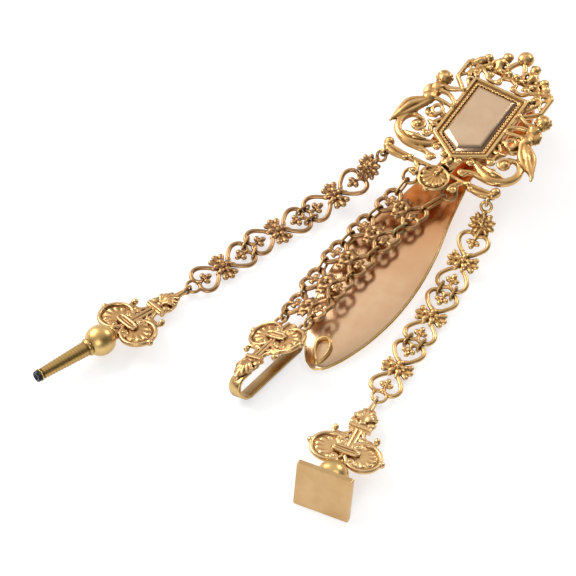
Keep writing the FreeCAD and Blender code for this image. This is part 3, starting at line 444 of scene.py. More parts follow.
def plain_floor():
    """A wide table of white card, that lights the metal from below as paper does."""
    size = 6.0
    mesh = bpy.data.meshes.new("floor")
    corners = [(-size, -size, 0), (size, -size, 0), (size, size, 0), (-size, size, 0)]
    mesh.from_pydata(corners, [], [(0, 1, 2, 3)])
    floor = bpy.data.objects.new("floor", mesh)
    floor.location.z = -0.00002
    bpy.context.scene.collection.objects.link(floor)
    material, _, surface = new_finish("white_table", 0.0)
    for socket, value in (("Base Color", grey(0.5)), ("Emission Color", grey(1.0)),
                          ("Emission Strength", 0.62), ("Roughness", 0.9), ("Specular IOR Level", 0.1)):
        surface.inputs[socket].default_value = value
    mesh.materials.append(material)


def soft_light(name, at, size, power):
    """A square soft box, metres across, that faces the chatelaine."""
    data = bpy.data.lights.new(name, "AREA")
    data.size = size
    data.energy = power
    data.color = (1.0, 0.99, 0.98)
    lamp = bpy.data.objects.new(name, data)
    lamp.location = at
    aim = Vector((0, 0, 0)) - Vector(at)
    lamp.rotation_euler = aim.to_track_quat("-Z", "Y").to_euler()
    bpy.context.scene.collection.objects.link(lamp)


def studio():
    """Soft light from the upper left, and darker room behind the camera for the metal to mirror."""
    soft_light("window", (-1.1, 0.05, 0.75), 0.8, 13.0)
    soft_light("front_box", (0.25, -1.1, 0.75), 0.6, 6.0)
    soft_light("side_box", (0.35, 1.15, 0.75), 0.4, 5.0)
    world = bpy.data.worlds.new("room")
    bpy.context.scene.world = world
    world.use_nodes = True
    tree = world.node_tree
    sky = tree.nodes["Background"]
    where = add_node(tree, "ShaderNodeTexCoord").outputs["Generated"]
    brightest = Vector((-0.45, 0.45, 0.77)).normalized()
    towards = add_node(tree, "ShaderNodeVectorMath", {"operation": "DOT_PRODUCT"}, {0: where, 1: brightest})
    walls = add_node(tree, RAMP, links={"Fac": towards.outputs["Value"]},
                     stops=[(0.0, grey(0.2)), (0.25, grey(0.1)), (0.5, grey(0.34)), (0.8, grey(0.84)),
                            (1.0, grey(1.0))])
    tree.links.new(walls.outputs["Color"], sky.inputs["Color"])
    sky.inputs["Strength"].default_value = 0.9
    bpy.context.scene.view_settings.view_transform = "Standard"
    bpy.context.scene.view_settings.exposure = 0.0


# The side figures lean on the frame: x outwards, y up the plaque
FIGURES = {
    1: {"head": (14.6, 9.4), "chest": (14.0, 6.0), "waist": (13.8, 1.6), "bend": (16.8, -2.8),
        "tail": (20.8, -7.5)},
    -1: {"head": (14.6, 9.2), "chest": (14.4, 5.6), "waist": (14.6, 1.4), "bend": (17.4, -3.4),
         "tail": (19.4, -9.3)},
}
FIGURE_Z = 13.0


def winged_figure(cast, side):
    """A plain calm child with curly hair, arms on the frame, a wing and a leafy tail."""
    f = FIGURES[side]

    def at(name, x=0.0, y=0.0, z=0.0):
        return Vector((side * (f[name][0] + x), f[name][1] + y, FIGURE_Z + z))
    head = at("head", z=0.35)
    cast.ball(head, 1.7, (0.92, 1.0, 0.95))
    for k in range(9):
        cast.ball(head + Vector(polar(1.9, -52 + 35.5 * k, (0, 0.25)) + (0.1,)), 0.48)
    for k in range(7):
        a = math.radians(30 * k)
        cast.ball(head + Vector((math.cos(a) * 1.25, 0.55 + math.sin(a) * 0.95, 1.25)), 0.42)
    for x in (-0.62, 0.62):
        cast.ball(head + Vector((x, -0.62, 1.12)), 0.5)
    cast.ball(head + Vector((0, -0.45, 1.62)), 0.24, (1, 1.5, 1))
    cast.ball(head + Vector((0, -1.25, 1.2)), 0.36)
    cast.wire([head, at("chest", z=0.2)], [0.8, 1.1])
    cast.ball(at("chest", z=0.2), 1.55, (1.05, 1.15, 0.85))
    for x in (-0.7, 0.7):
        cast.ball(at("chest", x, 0.3, 1.0), 0.7)
    cast.wire([at("chest"), at("waist", z=0.3)], [1.4, 1.25], flat=0.9)
    cast.ball(at("waist", 0.2, 0.4, 0.5), 1.25, (1.1, 1.1, 0.9))
    # The tail is a long leaf of three ribs
    for k, (out, width) in enumerate(((1.35, 0.62), (0.1, 0.75), (-1.15, 0.62))):
        bend = at("bend", out, out * 0.75, 0.45 + 0.35 * (k == 1))
        cast.wire([at("waist", out * 0.5, -0.6, 0.5), bend, at("tail", out * 0.12, 0.5 * k - 0.4, 0.0)],
                  [0.7, width * 1.25, 0.34])
    cast.wire([at("waist"), at("bend"), at("tail", -0.2, 0.8, -0.2)], [1.2, 1.3, 0.5], flat=0.7)
    # Arms on the frame, and the ribbon ring at the hip
    elbow = Vector((side * 11.3, 7.0, FIGURE_Z + 0.6))
    cast.wire([at("chest", -0.9, 1.2, 0.4), elbow, Vector((side * 8.6, 8.3, FIGURE_Z + 0.9))],
              [0.8, 0.68, 0.5])
    cast.ball((side * 8.4, 8.3, FIGURE_Z + 1.0), 0.6)
    cast.wire([at("chest", -0.6, -0.6, 0.7), Vector((side * 10.6, 4.9, FIGURE_Z + 0.9)),
               Vector((side * 8.2, 3.4, FIGURE_Z + 0.8)), Vector((side * 8.0, 2.0, FIGURE_Z + 0.6)),
               Vector((side * 10.2, 2.3, FIGURE_Z + 0.6)), at("waist", -0.6, 0.9, 0.7)],
              [0.62, 0.5, 0.48, 0.55])
    ring = [(side * 10.9 + 1.3 * math.cos(math.radians(36 * k)),
             -0.5 + 1.5 * math.sin(math.radians(36 * k)), FIGURE_Z + 0.3) for k in range(10)]
    cast.wire(ring, 0.46, closed=True, steps=2)
    # Folded wing: feathers that run down and outwards from the shoulder
    root = at("chest", 0.6, 0.5, 0.7)
    for k in range(5):
        a = math.radians(-56 - 12 * k)
        reach = 3.6 + 0.4 * k
        end = root + Vector((side * math.cos(a) * reach, math.sin(a) * reach, -0.5))
        middle = root + Vector((side * math.cos(a + 0.3) * reach * 0.55,
                                math.sin(a + 0.3) * reach * 0.55, 0.1))
        cast.wire([root, middle, end], [0.4, 0.5, 0.36], flat=0.8)


def shield_outline(inset, z):
    """The frame's five-sided outline, drawn in by inset."""
    half = 8.05 - inset
    return [(-half, 14.0 - inset, z), (half, 14.0 - inset, z), (half, -7.6 + inset * 0.35, z),
            (0, -12.7 + inset * 1.1, z), (-half, -7.6 + inset * 0.35, z)]


def plaque_frame_work(cast):
    """The back plate, the plain moulding and the rope of beads round the tablet."""
    cast.slab(shield_outline(0.1, 0), PLAQUE_BACK, 12.6)
    for inset, z, r, flat in ((0.42, 13.35, 0.62, 1.1), (1.36, 13.15, 0.3, 1.5)):
        corners = [Vector(p) for p in shield_outline(inset, z)]
        for a, b in zip(corners, corners[1:] + corners[:1]):
            cast.wire([a, b], r, flat=flat, steps=1)
    cast.beads(shield_outline(1.88, 13.45), 0.4, 0.92)


def plaque_strap_work(cast, side):
    """Strapwork with square ears and a raised edge, curls within them, and the scrolls down the flank."""
    z = 12.6
    ear = [(8.6, 18.3), (12.3, 18.2), (12.3, 12.4), (9.4, 9.6), (7.9, 8.7)]
    for lift, r in ((0.0, 0.58), (0.45, 0.3)):
        for a, b in zip(ear, ear[1:]):
            cast.wire(flip([(a[0], a[1], z + lift), (b[0], b[1], z + lift)], side), r, steps=1)
    cast.wire(flip([(12.0, 17.6, z - 0.1), (10.6, 16.4, z), (10.8, 14.6, z), (11.9, 13.2, z - 0.1)], side),
              0.34)
    cast.wire(flip([(0.3, 18.5, z), (2.0, 17.7, z), (2.4, 16.3, z), (3.6, 15.5, z), (5.3, 15.8, z),
                    (6.4, 17.0, z), (8.6, 18.2, z)], side), 0.5)
    cast.volute((side * 2.4, 15.9), 0.95, 90, side * 1.1, z + 0.3, 0.38)
    cast.volute((side * 5.2, 17.3), 0.95, 200, -side * 1.1, z + 0.3, 0.38)
    cast.wire(flip([(8.7, 18.1, z), (9.9, 15.9, z), (9.6, 13.4, z), (8.2, 11.2, z)], side), 0.5)
    cast.volute((side * 9.0, 16.2), 1.0, 60, side * 1.1, z + 0.2, 0.38)
    cast.ball((side * 9.3, 13.3, z + 0.2), 0.7)
    cast.ball((side * 8.2, 15.0, z), 0.75)
    cast.wire(flip([(10.6, -2.0, z), (12.4, -2.5, z), (13.2, -1.4, z), (12.6, -0.3, z)], side),
              [0.55, 0.55, 0.4])
    cast.wire(flip([(7.8, -1.6, z), (9.3, -3.4, z), (9.7, -5.6, z), (9.0, -7.2, z)], side), 0.6)
    cast.wire(flip([(8.0, -4.6, z + 0.2), (9.6, -5.0, z + 0.4), (11.2, -4.4, z + 0.3)], side),
              [0.5, 0.75, 0.35])
    cast.ball((side * 8.9, -0.9, z + 0.1), 0.75)


def plaque_foot_work(cast, side):
    """The C-scrolls, spiral bosses and small volutes round the foot."""
    z = 12.7
    cast.wire(flip([(12.9, -4.8, z), (15.4, -4.7, z), (17.1, -6.6, z), (17.2, -9.6, z), (15.2, -12.1, z),
                    (12.0, -13.0, z), (8.6, -12.0, z), (6.6, -10.8, z)], side), [0.55, 0.78, 0.9, 1.05, 0.6])
    cast.wire(flip([(13.4, -5.0, z + 0.6), (15.6, -5.2, z + 0.7), (16.8, -7.4, z + 0.8),
                    (16.4, -10.0, z + 0.8), (14.4, -12.1, z + 0.8), (11.4, -12.5, z + 0.7)], side),
              [0.24, 0.3, 0.26])
    cast.wire(flip([(14.2, -11.1, z + 0.6), (11.6, -11.5, z + 0.9), (9.0, -10.7, z + 0.7)], side),
              [0.4, 0.9, 0.45])
    cast.volute((side * 12.8, -7.2), 1.8, 60, side * 1.6, z + 0.35, 0.5)
    cast.ball((side * 12.8, -7.2, z + 0.4), 0.95)
    cast.volute((side * 9.3, -8.3), 1.15, 160, -side * 1.2, z + 0.3, 0.4)
    cast.wire(flip([(16.2, -11.6, z), (13.4, -13.7, z + 0.1), (9.8, -13.9, z + 0.1), (6.4, -13.6, z)], side),
              [0.3, 0.62, 0.45])
    cast.wire(flip([(8.6, -13.4, z), (6.4, -13.7, z), (4.9, -14.4, z)], side), [0.6, 0.62, 0.6])
    cast.volute((side * 4.7, -14.7), 1.15, 30, -side * 1.3, z + 0.2, 0.42)
    cast.volute((side * 2.3, -12.1), 1.0, 90, side * 1.2, z + 0.5, 0.36)
    cast.volute((side * 4.8, -11.1), 0.95, 90, -side * 1.2, z + 0.4, 0.36)
    cast.wire(flip([(11.2, -9.8, z), (10.2, -10.6, z), (8.0, -10.4, z), (6.2, -9.8, z)], side), 0.45)


def plaque_crest_work(cast):
    """A ribbed boss on a forked stem, between small seated creatures and leaves."""
    z = 12.7
    cast.ball((0, 26.5, z + 0.1), 1.85, (1, 1, 0.8))
    for k in range(9):
        deg = 40 * k + 10
        cast.wire([polar(0.3, deg, (0, 26.5)) + (z + 1.3,), polar(1.45, deg, (0, 26.5)) + (z + 0.75,)],
                  [0.26, 0.44], steps=1)
    for s in (1, -1):
        cast.wire(flip([(0.5, 25.0, z), (1.5, 23.4, z), (2.3, 21.2, z), (2.4, 19.4, z)], s), [0.62, 0.6, 0.7])
        cast.wire(flip([(0.0, 19.0, z - 0.2), (4.5, 19.2, z - 0.2), (8.8, 18.6, z - 0.2)], s), [0.7, 0.62],
                  steps=2)
        # The nearer creature sits up, the outer one lies along the ear
        head = Vector((s * 4.1, 24.2, z + 0.3))
        cast.ball(head, 1.2, (0.95, 1.05, 0.95))
        for k in range(6):
            a = math.radians(15 + 30 * k)
            cast.ball(head + Vector((1.1 * math.cos(a), 0.25 + 1.0 * math.sin(a), 0.3)), 0.36)
        for x in (-0.32, 0.32):
            cast.ball(head + Vector((x, -0.35, 0.85)), 0.26)
        cast.wire(flip([(4.2, 23.2, z), (4.9, 21.8, z + 0.2), (4.5, 20.2, z)], s), [0.9, 1.2, 0.95])
        cast.wire(flip([(3.8, 22.6, z + 0.5), (2.8, 22.0, z + 0.5), (2.5, 20.8, z + 0.3)], s), [0.4, 0.34])
        cast.wire(flip([(5.1, 20.9, z + 0.4), (6.3, 21.3, z + 0.6), (6.7, 19.8, z + 0.2)], s),
                  [0.6, 0.5, 0.42])
        far = Vector((s * 8.3, 21.6, z + 0.25))
        cast.ball(far, 1.1)
        for k in range(5):
            a = math.radians(20 + 35 * k)
            cast.ball(far + Vector((0.8 * math.cos(a), 0.2 + 0.7 * math.sin(a), 0.2)), 0.28)
        cast.wire(flip([(8.6, 20.9, z), (9.6, 19.9, z + 0.2), (10.6, 18.8, z)], s), [0.85, 1.05, 0.75])
        cast.wire(flip([(7.7, 20.8, z + 0.3), (7.2, 19.8, z + 0.4), (8.0, 19.0, z + 0.3)], s), [0.42, 0.36])
        cast.wire(flip([(6.1, 19.2, z), (6.5, 20.6, z + 0.3), (6.2, 22.2, z + 0.1)], s), [0.4, 0.5, 0.25])
        cast.ball((s * 11.6, 18.9, z + 0.1), 0.6)
        cast.ball((s * 1.1, 19.6, z + 0.4), 0.85)
        cast.ball((s * 3.3, 19.3, z + 0.4), 0.7)
        cast.ball((s * 6.3, 19.0, z + 0.3), 0.75)


POSTS = ((-5.0, 8.0, 9.7), (5.0, 8.0, 9.7), (0.0, -6.0, 9.7), (0.0, -13.4, 10.0))
RELIEF_FULLNESS = 1.24


def plaque_posts_work(cast):
    """The riveted posts on the back, that hold the hook's leaf and the bar's plate."""
    for x, y, foot in POSTS:
        cast.wire([(x, y, foot), (x, y, PLAQUE_BACK + 0.6)], 0.7, steps=1, ends=False)
        cast.wire([(x, y, foot), (x, y, foot + 0.5)], 1.25, steps=1, ends=False)


def make_plaque(gilt):
    """The plaque as one casting: its frame and posts are crisp, its relief is fuller."""
    cast = Casting()
    plaque_frame_work(cast)
    cast.full = RELIEF_FULLNESS
    for side in (1, -1):
        plaque_strap_work(cast, side)
        plaque_foot_work(cast, side)
        winged_figure(cast, side)
    plaque_crest_work(cast)
    cast.slab([(-2.6, -11.6), (2.6, -11.6), (1.3, -15.2), (-1.3, -15.2)], PLAQUE_BACK, 13.2)
    cast.ball((0, -13.6, 13.2), 0.9, (1, 1.4, 0.7))
    cast.full = 1.0
    plaque_posts_work(cast)
    cast.finish("plaque_cast", ["plaque"], 0.21, gilt, rounds=3)


# Each level of the tablet: how far in, and its height; the face lies flat within two soft bevels
TABLET_LEVELS = ((0, TABLET_LOW), (0, 13.0), (0.14, 13.3), (0.55, 13.85), (1.0, 14.25), (1.45, 14.5),
                 (1.75, 14.58))
TABLET_HALF = 6.1


def make_tablet(rose):
    """The plain tablet: a flat face within broad, slightly rounded bevels."""
    points = []
    for inset, z in TABLET_LEVELS:
        half = TABLET_HALF - inset
        top, shoulder = TABLET_TOP_Y + 0.3 - inset, -6.5 + inset * 0.6
        points += [(-half, top, z), (half, top, z), (half, shoulder, z), (0, -10.3 + inset * 1.2, z),
                   (-half, shoulder, z)]
    shape = bmesh.new()
    corners = [shape.verts.new(p) for p in points]
    join_rings(shape, [corners[k:k + 5] for k in range(0, len(corners), 5)])
    piece = new_piece("tablet_face", shape)
    soften = piece.modifiers.new("soft_edges", "BEVEL")
    soften.width = 0.12
    soften.segments = 3
    soften.limit_method = "NONE"
    keep_changes(piece)
    finish_piece(piece, ["tablet"], rose)


HEART_HALF = 3.9
HEART_LEVEL = 6.3
LOBE_R = 2.15
CUSP_Y = 7.92


def heart_work(cast, half, level, lobe, foot, turned):
    """One heart of wire with curled lobes; turned is 1 for up the Y axis, -1 for down."""
    for side in (1, -1):
        route = [(side * foot[0], turned * foot[1], 0)]
        for t in (0.35, 0.7):
            width = foot[0] + (half - foot[0]) * math.sin(t * math.pi / 2)
            route.append((side * width, turned * (foot[1] + (level - foot[1]) * t), 0))
        for deg in (0, 40, 80, 120, 150):
            x, y = polar(lobe, deg, (half - lobe, level))
            route.append((side * x, turned * y, 0))
        cast.wire(route, [0.55, 0.64, 0.62, 0.5], steps=4, flat=0.95)


def trefoil_work(cast, stem, turned, pointed):
    """Three small leaves on a stem inside a heart: round ones, or pointed ones in the middle chain."""
    cast.wire([(0, turned * (stem + 1.5), 0), (0, turned * (stem - 0.3), 0)], 0.42, steps=1)
    if pointed:
        for deg in (-55, 0, 55):
            pointed_petal(cast, (0, turned * (stem + 0.1)), -90 * turned + deg, 2.1, 0.95, 0.1)
        return
    cast.ball((0, turned * (stem - 1.45), 0.12), 0.82, (0.95, 1.25, 0.8))
    for s in (1, -1):
        cast.ball((s * 1.0, turned * (stem - 0.35), 0.1), 0.8, (1.2, 0.95, 0.8), s * turned * -35)
    cast.ball((0, turned * (stem - 0.3), 0.45), 0.5)


def pointed_petal(cast, centre, deg, reach, width, z):
    """A flat petal with a raised rib, drawn from its foot to its point."""
    out = Vector(polar(1, deg) + (0,))
    foot = Vector((centre[0], centre[1], z))
    bulge = Vector((0, 0, 0.25))
    rib = Vector((0, 0, 0.3))
    cast.wire([foot + out * 0.2, foot + out * reach * 0.55 + bulge, foot + out * reach],
              [width * 0.5, width, width * 0.22], flat=0.42, ends=False)
    cast.wire([foot + out * 0.3 + rib, foot + out * reach * 0.85 + rib], 0.2, steps=1)


def star_flower_work(cast):
    """The middle chain's flower: five flat pointed petals, and leaves that lie along the wires."""
    cast.ball((0, 0, -0.1), 1.3, (1, 1, 0.5))
    for k in range(5):
        pointed_petal(cast, (0, 0), 18 + 72 * k, 2.9, 1.25, 0.3)
    cast.ball((0, 0, 0.85), 0.6)
    for s in (1, -1):
        for deg in (-24, 24):
            pointed_petal(cast, (s * 1.4, 0), (0 if s > 0 else 180) + deg, 2.3, 0.95, -0.1)


def flower_work(cast, fan_out):
    """The flower where the hearts meet, and the ribbed fans at its sides."""
    cast.ball((0, 0, 0), 1.5, (1, 1, 0.6))
    for k in range(5):
        cast.ball(polar(1.5, 90 + 72 * k) + (0.3,), 1.0, (1.1, 0.86, 0.65), 90 + 72 * k)
    cast.ball((0, 0, 0.85), 0.62)
    for side in (0, 180):
        cast.ball(polar(2.25, side) + (-0.15,), 1.25, (1.0, 1.05, 0.45))
        for deg in (-28, 0, 28):
            reach = fan_out - 0.1 - abs(deg) * 0.008
            cast.wire([polar(1.2, side + deg) + (-0.05,), polar(reach, side + deg) + (0,)], [0.5, 0.82],
                      steps=1, flat=0.7)
    for turned in (1, -1):
        for s in (1, -1):
            cast.ball((s * 0.8, turned * 2.3, 0.1), 0.66, (0.8, 1.4, 0.8), -s * turned * 25)


def double_heart_work(cast, half, level, lobe, foot, fan_out, cusp):
    """Two hearts foot to foot with a flower between; no fan_out gives the middle chain's flower."""
    for turned in (1, -1):
        heart_work(cast, half, level, lobe, foot, turned)
        cast.ball((0, turned * cusp, 0), 0.62)
        trefoil_work(cast, cusp - 1.6, turned, not fan_out)
    if fan_out:
        flower_work(cast, fan_out)
    else:
        star_flower_work(cast)


LINK_Z = 1.4
FIRST_RISE = math.radians(11)
CHAINS = {
    "right": {"links": [(15.9, -32.6, 3.1), (17.2, -50.5, LINK_Z), (18.2, -68.5, LINK_Z)],
              "rosette": (15.2, -21.9, 7.0), "twist": (0.25, -0.75, 0.62), "eye_x": 14.5},
    "left": {"links": [(-22.6, -31.5, 3.1), (-29.6, -48.0, LINK_Z), (-35.3, -65.0, LINK_Z)],
             "rosette": (-18.2, -21.7, 7.5), "twist": (-0.25, -0.72, 0.6), "eye_x": -15.7},
}
EYE_Y = -18.55
EYE_Z = 11.55
ROSETTE_REACH = 6.05
END_RING_R = 1.8


def chain_places(side):
    """The place of each double-heart link: the first rises to the rosette, the others lie flat."""
    links = [Vector(p) for p in CHAINS[side]["links"]]
    places = []
    for i, at in enumerate(links):
        ahead = links[i - 1] - at if i else at - links[1]
        ahead.z = 0
        ahead.normalize()
        ahead.z = 0 if i else math.tan(FIRST_RISE)
        places.append(placing(at, ahead, (0, 0, 1)))
    return places


def rosette_work(cast):
    """A round flower of ten petals with a domed eye, and the ring at its top."""
    cast.ball((0, 0, 0.1), 2.3, (1, 1, 0.45))
    for k in range(10):
        cast.ball(polar(2.35, 18 + 36 * k) + (0.25,), 0.92, (1.45, 0.85, 0.75), 18 + 36 * k)
    cast.petals((0, 0, 0.75), 1.5, 6, 0.42)
    cast.ball((0, 0, 1.15), 0.62)
    cast.wire(level_ring(1.35, (0, 4.7), 0), 0.45, closed=True, steps=2)


LINK_VOXEL = 0.16


def make_side_chain(side, gilt):
    """Three double-heart links: the first carries the rosette, the last the ring for the pendant."""
    for i, place in enumerate(chain_places(side)):
        cast = Casting()
        link = Casting()
        double_heart_work(link, HEART_HALF, HEART_LEVEL, LOBE_R, (0.6, 1.8), 3.7, CUSP_Y)
        if i == 2:
            ring_at = CUSP_Y + END_RING_R - 0.1
            link.wire(level_ring(END_RING_R, (0, -ring_at), 0), 0.45, closed=True, steps=2)
            link.ball((0, -CUSP_Y, 0), 0.75)
        cast.add_moved(link, place)
        if i == 0:
            eye = Vector((CHAINS[side]["eye_x"], EYE_Y, EYE_Z))
            way = (eye - Vector(CHAINS[side]["rosette"])).normalized()
            at = eye - way * ROSETTE_REACH
            flower = Casting()
            rosette_work(flower)
            cast.add_moved(flower, placing(at, way, CHAINS[side]["twist"]))
            top = place @ Vector((0, CUSP_Y, 0))
            cast.limb(at, top, 0.8, 0.6)
        cast.finish("%s_heart_%d" % (side, i + 1), ["%s_link_%d" % (side, i + 1)], LINK_VOXEL, gilt)


CROSS_LINKS = [
    {"at": (-3.9, -29.9, 8.3), "along": (0.2, 1.0, 0.1), "up": (-0.05, 0, 1)},
    {"at": (-6.2, -39.8, 7.4), "along": (0.2, 1.0, 0.09), "up": (-0.15, 0, 1)},
    {"at": (-7.9, -49.5, 6.6), "along": (0.14, 1.0, 0.06), "up": (-0.2, 0, 1)},
    {"at": (-8.55, -58.8, 6.3), "along": (0.07, 1.0, 0.02), "up": (-0.32, 0, 1)},
    {"at": (-8.6, -67.5, 6.6), "along": (0.07, 1.0, 0.0), "up": (-0.42, 0.05, 0.9)},
]
CLIP_AT = {"at": (-9.85, -79.8, 6.97), "along": (0.158, 0.98, 0.0), "up": (-0.46, 0.07, 0.88)}
CROSS_CUSP_Y = 5.95


def make_middle_chain(gilt):
    """Five double-heart links that lie across the chain's run."""
    for i, spot in enumerate(CROSS_LINKS):
        cast = Casting()
        link = Casting(1.12)
        double_heart_work(link, 3.6, 4.4, 2.0, (0.6, 1.2), 0, CROSS_CUSP_Y)
        place = placing(spot["at"], spot["along"], spot["up"]) @ Matrix.Rotation(math.radians(90), 4, "Z")
        cast.add_moved(link, place)
        cast.finish("cross_heart_%d" % (i + 1), ["cross_link_%d" % (i + 1)], LINK_VOXEL, gilt)


HEAD_START = 3.2
COLLAR_AT = 10.1
CROSS_AT = 19.1
BALL_AT = 27.5
BALL_R = 3.95
KEY_END = 47.3
SEAL_AT = 32.7
ORNAMENT_VOXEL = 0.16
DISC_OUT = 4.5
DISC_R = 4.9


def fan_head_work(cast):
    """The small fan over the collar: ribs from a bead, with a volute at each side."""
    cast.slab([(-0.8, -HEAD_START), (-2.9, -6.2), (-3.4, -7.8), (-2.6, -9.9), (2.6, -9.9), (3.4, -7.8),
               (2.9, -6.2), (0.8, -HEAD_START)], -0.6, 0.1)
    for deg in (32, 52, 71, 90, 109, 128, 148):
        x, y = polar(4.9 if 60 < deg < 120 else 4.1, deg)
        x, y = x * 0.78, y * 0.88
        cast.wire([(x * 0.1, -8.4, 0.5), (x * 0.6, -8.3 + y * 0.6, 1.0), (x, -8.1 + y, 0.2)],
                  [0.34, 0.58, 0.6], steps=3)
    for s in (1, -1):
        cast.ball((s * 2.2, -8.6, 0.1), 1.2, (1, 1, 0.6))
    cast.ball((0, -6.4, 0.0), 2.3, (0.9, 1, 0.36))
    cast.ball((0, -8.8, 0.35), 0.7, (1.6, 0.9, 1))


def palmette_work(cast, s):
    """One half of the double palmette: a rimmed disc with petals that run out from a spiral."""
    x, y = s * DISC_OUT, -CROSS_AT
    cast.ball((x, y, -0.2), DISC_R - 0.4, (1, 1, 0.16))
    cast.wire(level_ring(DISC_R - 0.5, (x, y), 0.1, 15), 0.6, closed=True, steps=2, flat=1.15)
    for deg in (-84, -56, -28, 0, 28, 56, 84):
        a = math.radians(deg)
        start = (x - s * 1.9 + s * 0.8 * math.cos(a), y + 0.8 * math.sin(a), 0.1)
        end = (x - s * 1.6 + s * 4.35 * math.cos(a), y + 3.1 * math.sin(a), 0.1)
        cast.wire([start, end], [0.3, 0.7], steps=1, flat=0.75)
    for t in (1, -1):
        cast.volute((x - s * 2.5, y + t * 2.6), 1.0, 90 * t, -s * t * 1.3, 0.4, 0.36)
    cast.ball((s * 9.4, y, 0.1), 0.9)


def ornament_work(cast):
    """Fan head, collar, ribbed stem with C-arms, the double palmette and its crosspiece."""
    fan_head_work(cast)
    cast.slab([(-2.9, -COLLAR_AT - 0.5), (2.9, -COLLAR_AT - 0.5), (2.9, -COLLAR_AT + 0.5),
               (-2.9, -COLLAR_AT + 0.5)], -1.0, 1.05)
    for y in (-COLLAR_AT - 0.75, -COLLAR_AT + 0.7):
        cast.wire([(-2.5, y, 0.2), (2.5, y, 0.2)], 0.4, steps=1)
    for s in (1, -1):
        cast.wire([(s * 0.6, -COLLAR_AT, 0.1), (s * 0.6, -CROSS_AT + 1, 0.1)], [0.55, 0.72], steps=1)
        cast.wire([(s * x, -COLLAR_AT - down, 0) for x, down in
                   ((1.3, 0.4), (2.0, 2.6), (3.6, 3.9), (5.4, 3.7), (6.0, 2.7))], [0.55, 0.6, 0.5])
        cast.ball((s * 5.5, -COLLAR_AT - 2.3, 0.1), 0.9)
        cast.leaf([Vector((s * 1.4, -CROSS_AT + 5.3, 0.1)), Vector((s * 3.0, -CROSS_AT + 4.9, 0.2)),
                   Vector((s * 4.6, -CROSS_AT + 5.4, 0))], 1.5)
        palmette_work(cast, s)
    y = -CROSS_AT
    cast.wire([(3.3, y, 0.9), (2.4, y + 0.8, 0.95), (-2.4, y + 0.8, 0.95), (-3.3, y, 0.9),
               (-2.4, y - 0.8, 0.95), (2.4, y - 0.8, 0.95)], 0.42, closed=True, steps=4)
    cast.wire([(-2.8, y, 0.45), (2.8, y, 0.45)], 0.7, steps=1)
    cast.slab([(-2.6, y), (2.6, y), (1.7, y - 6.0), (-1.7, y - 6.0)], -0.9, 0.1)
    for s in (1, -1):
        cast.wire([(s * 0.9, y - 1.2, 0.1), (s * 1.2, y - 3.4, 0.15), (s * 0.9, y - 5.6, 0.1)],
                  [0.4, 0.6, 0.5])


def bail_work(cast):
    """The pendant's upright ring and its stem; the ring's middle is the pendant's origin."""
    ring = [(0,) + polar(1.1, 30 * k) for k in range(12)]
    cast.wire(ring, 0.38, closed=True, steps=2)
    cast.limb((0, -1.1, 0), (0, -HEAD_START - 0.6, 0), 0.7, 0.9)


def lathe(name, profile, sides=64):
    """A turned piece along -Y: the profile gives pairs of distance and radius."""
    shape = bmesh.new()
    rings = []
    for at, r in profile:
        circle = (polar(r, 360 * k / sides) for k in range(sides))
        rings.append([shape.verts.new((x, -at, z)) for x, z in circle])
    join_rings(shape, rings)
    bmesh.ops.recalc_face_normals(shape, faces=shape.faces)
    return new_piece(name, shape)


def ball_profile(middle, r, first_deg, last_deg, steps=24):
    """Profile of a ball about a point on the axis, from one angle to another, 0 at its top."""
    points = []
    for k in range(steps + 1):
        a = math.radians(first_deg + (last_deg - first_deg) * k / steps)
        points.append((middle - r * math.cos(a), max(0.01, r * math.sin(a))))
    return points


BAIL_Z = 1.51


def pendant_place(side, towards, up):
    """The place of a pendant whose bail hangs in the ring at the end of a side chain."""
    ring_end = chain_places(side)[2] @ Vector((0, -(CUSP_Y + END_RING_R - 0.1) - END_RING_R, 0))
    bail = ring_end + (Vector(towards) - ring_end).normalized() * 0.1
    bail.z = BAIL_Z
    return placing(bail, bail - Vector(towards), up)


KEY_BALL = (-48.3, -102.9, BALL_R + 0.02)
SEAL_MIDDLE = (23.6, -112.3, 7.15)
BALL_NECK = [(BALL_AT - 4.3, 1.3), (BALL_AT - 3.9, 1.9), (BALL_AT - 3.6, 1.7)]
PIPE_RIBS = 17
PIPE_RIB_DEPTH = 0.16


def make_key(gilt, polished, pipe_finish, steel):
    """The watch key: its ornament, the ball, the ribbed pipe and the steel tip with its hole."""
    place = pendant_place("left", KEY_BALL, (-0.2, 0.08, 0.97))
    cast = Casting()
    ornament_work(cast)
    bail_work(cast)
    cast.finish("key_palmette", ["key_ornament"], ORNAMENT_VOXEL, gilt, place)
    under = BALL_AT + BALL_R - 0.5
    ball = BALL_NECK + ball_profile(BALL_AT, BALL_R, 22, 150) + [(under, 1.9), (under + 0.05, 0.2)]
    finish_piece(lathe("key_ball", ball), [], polished, place)
    start = under - 0.05
    profile = [(start, 0.3), (start + 0.02, 2.05), (start + 0.5, 2.35), (start + 0.9, 2.05)]
    steps = 2 * PIPE_RIBS
    for k in range(steps + 1):
        t = k / steps
        at = start + 1.0 + (KEY_END - 1.4 - start - 1.0) * t
        profile.append((at, 2.0 - 0.5 * t - (PIPE_RIB_DEPTH if k % 2 else 0.0)))
    profile += [(KEY_END - 1.35, 1.62), (KEY_END - 1.1, 1.6), (KEY_END - 1.05, 0.9)]
    finish_piece(lathe("key_barrel", profile), ["key_pipe"], pipe_finish, place)
    tip = [(KEY_END - back, r) for back, r in
           ((1.2, 0.9), (1.2, 1.5), (0.15, 1.42), (0, 1.3), (0, 0.85), (1.9, 0.8), (1.95, 0.02))]
    finish_piece(lathe("key_tip", tip, 48), [], steel, place)


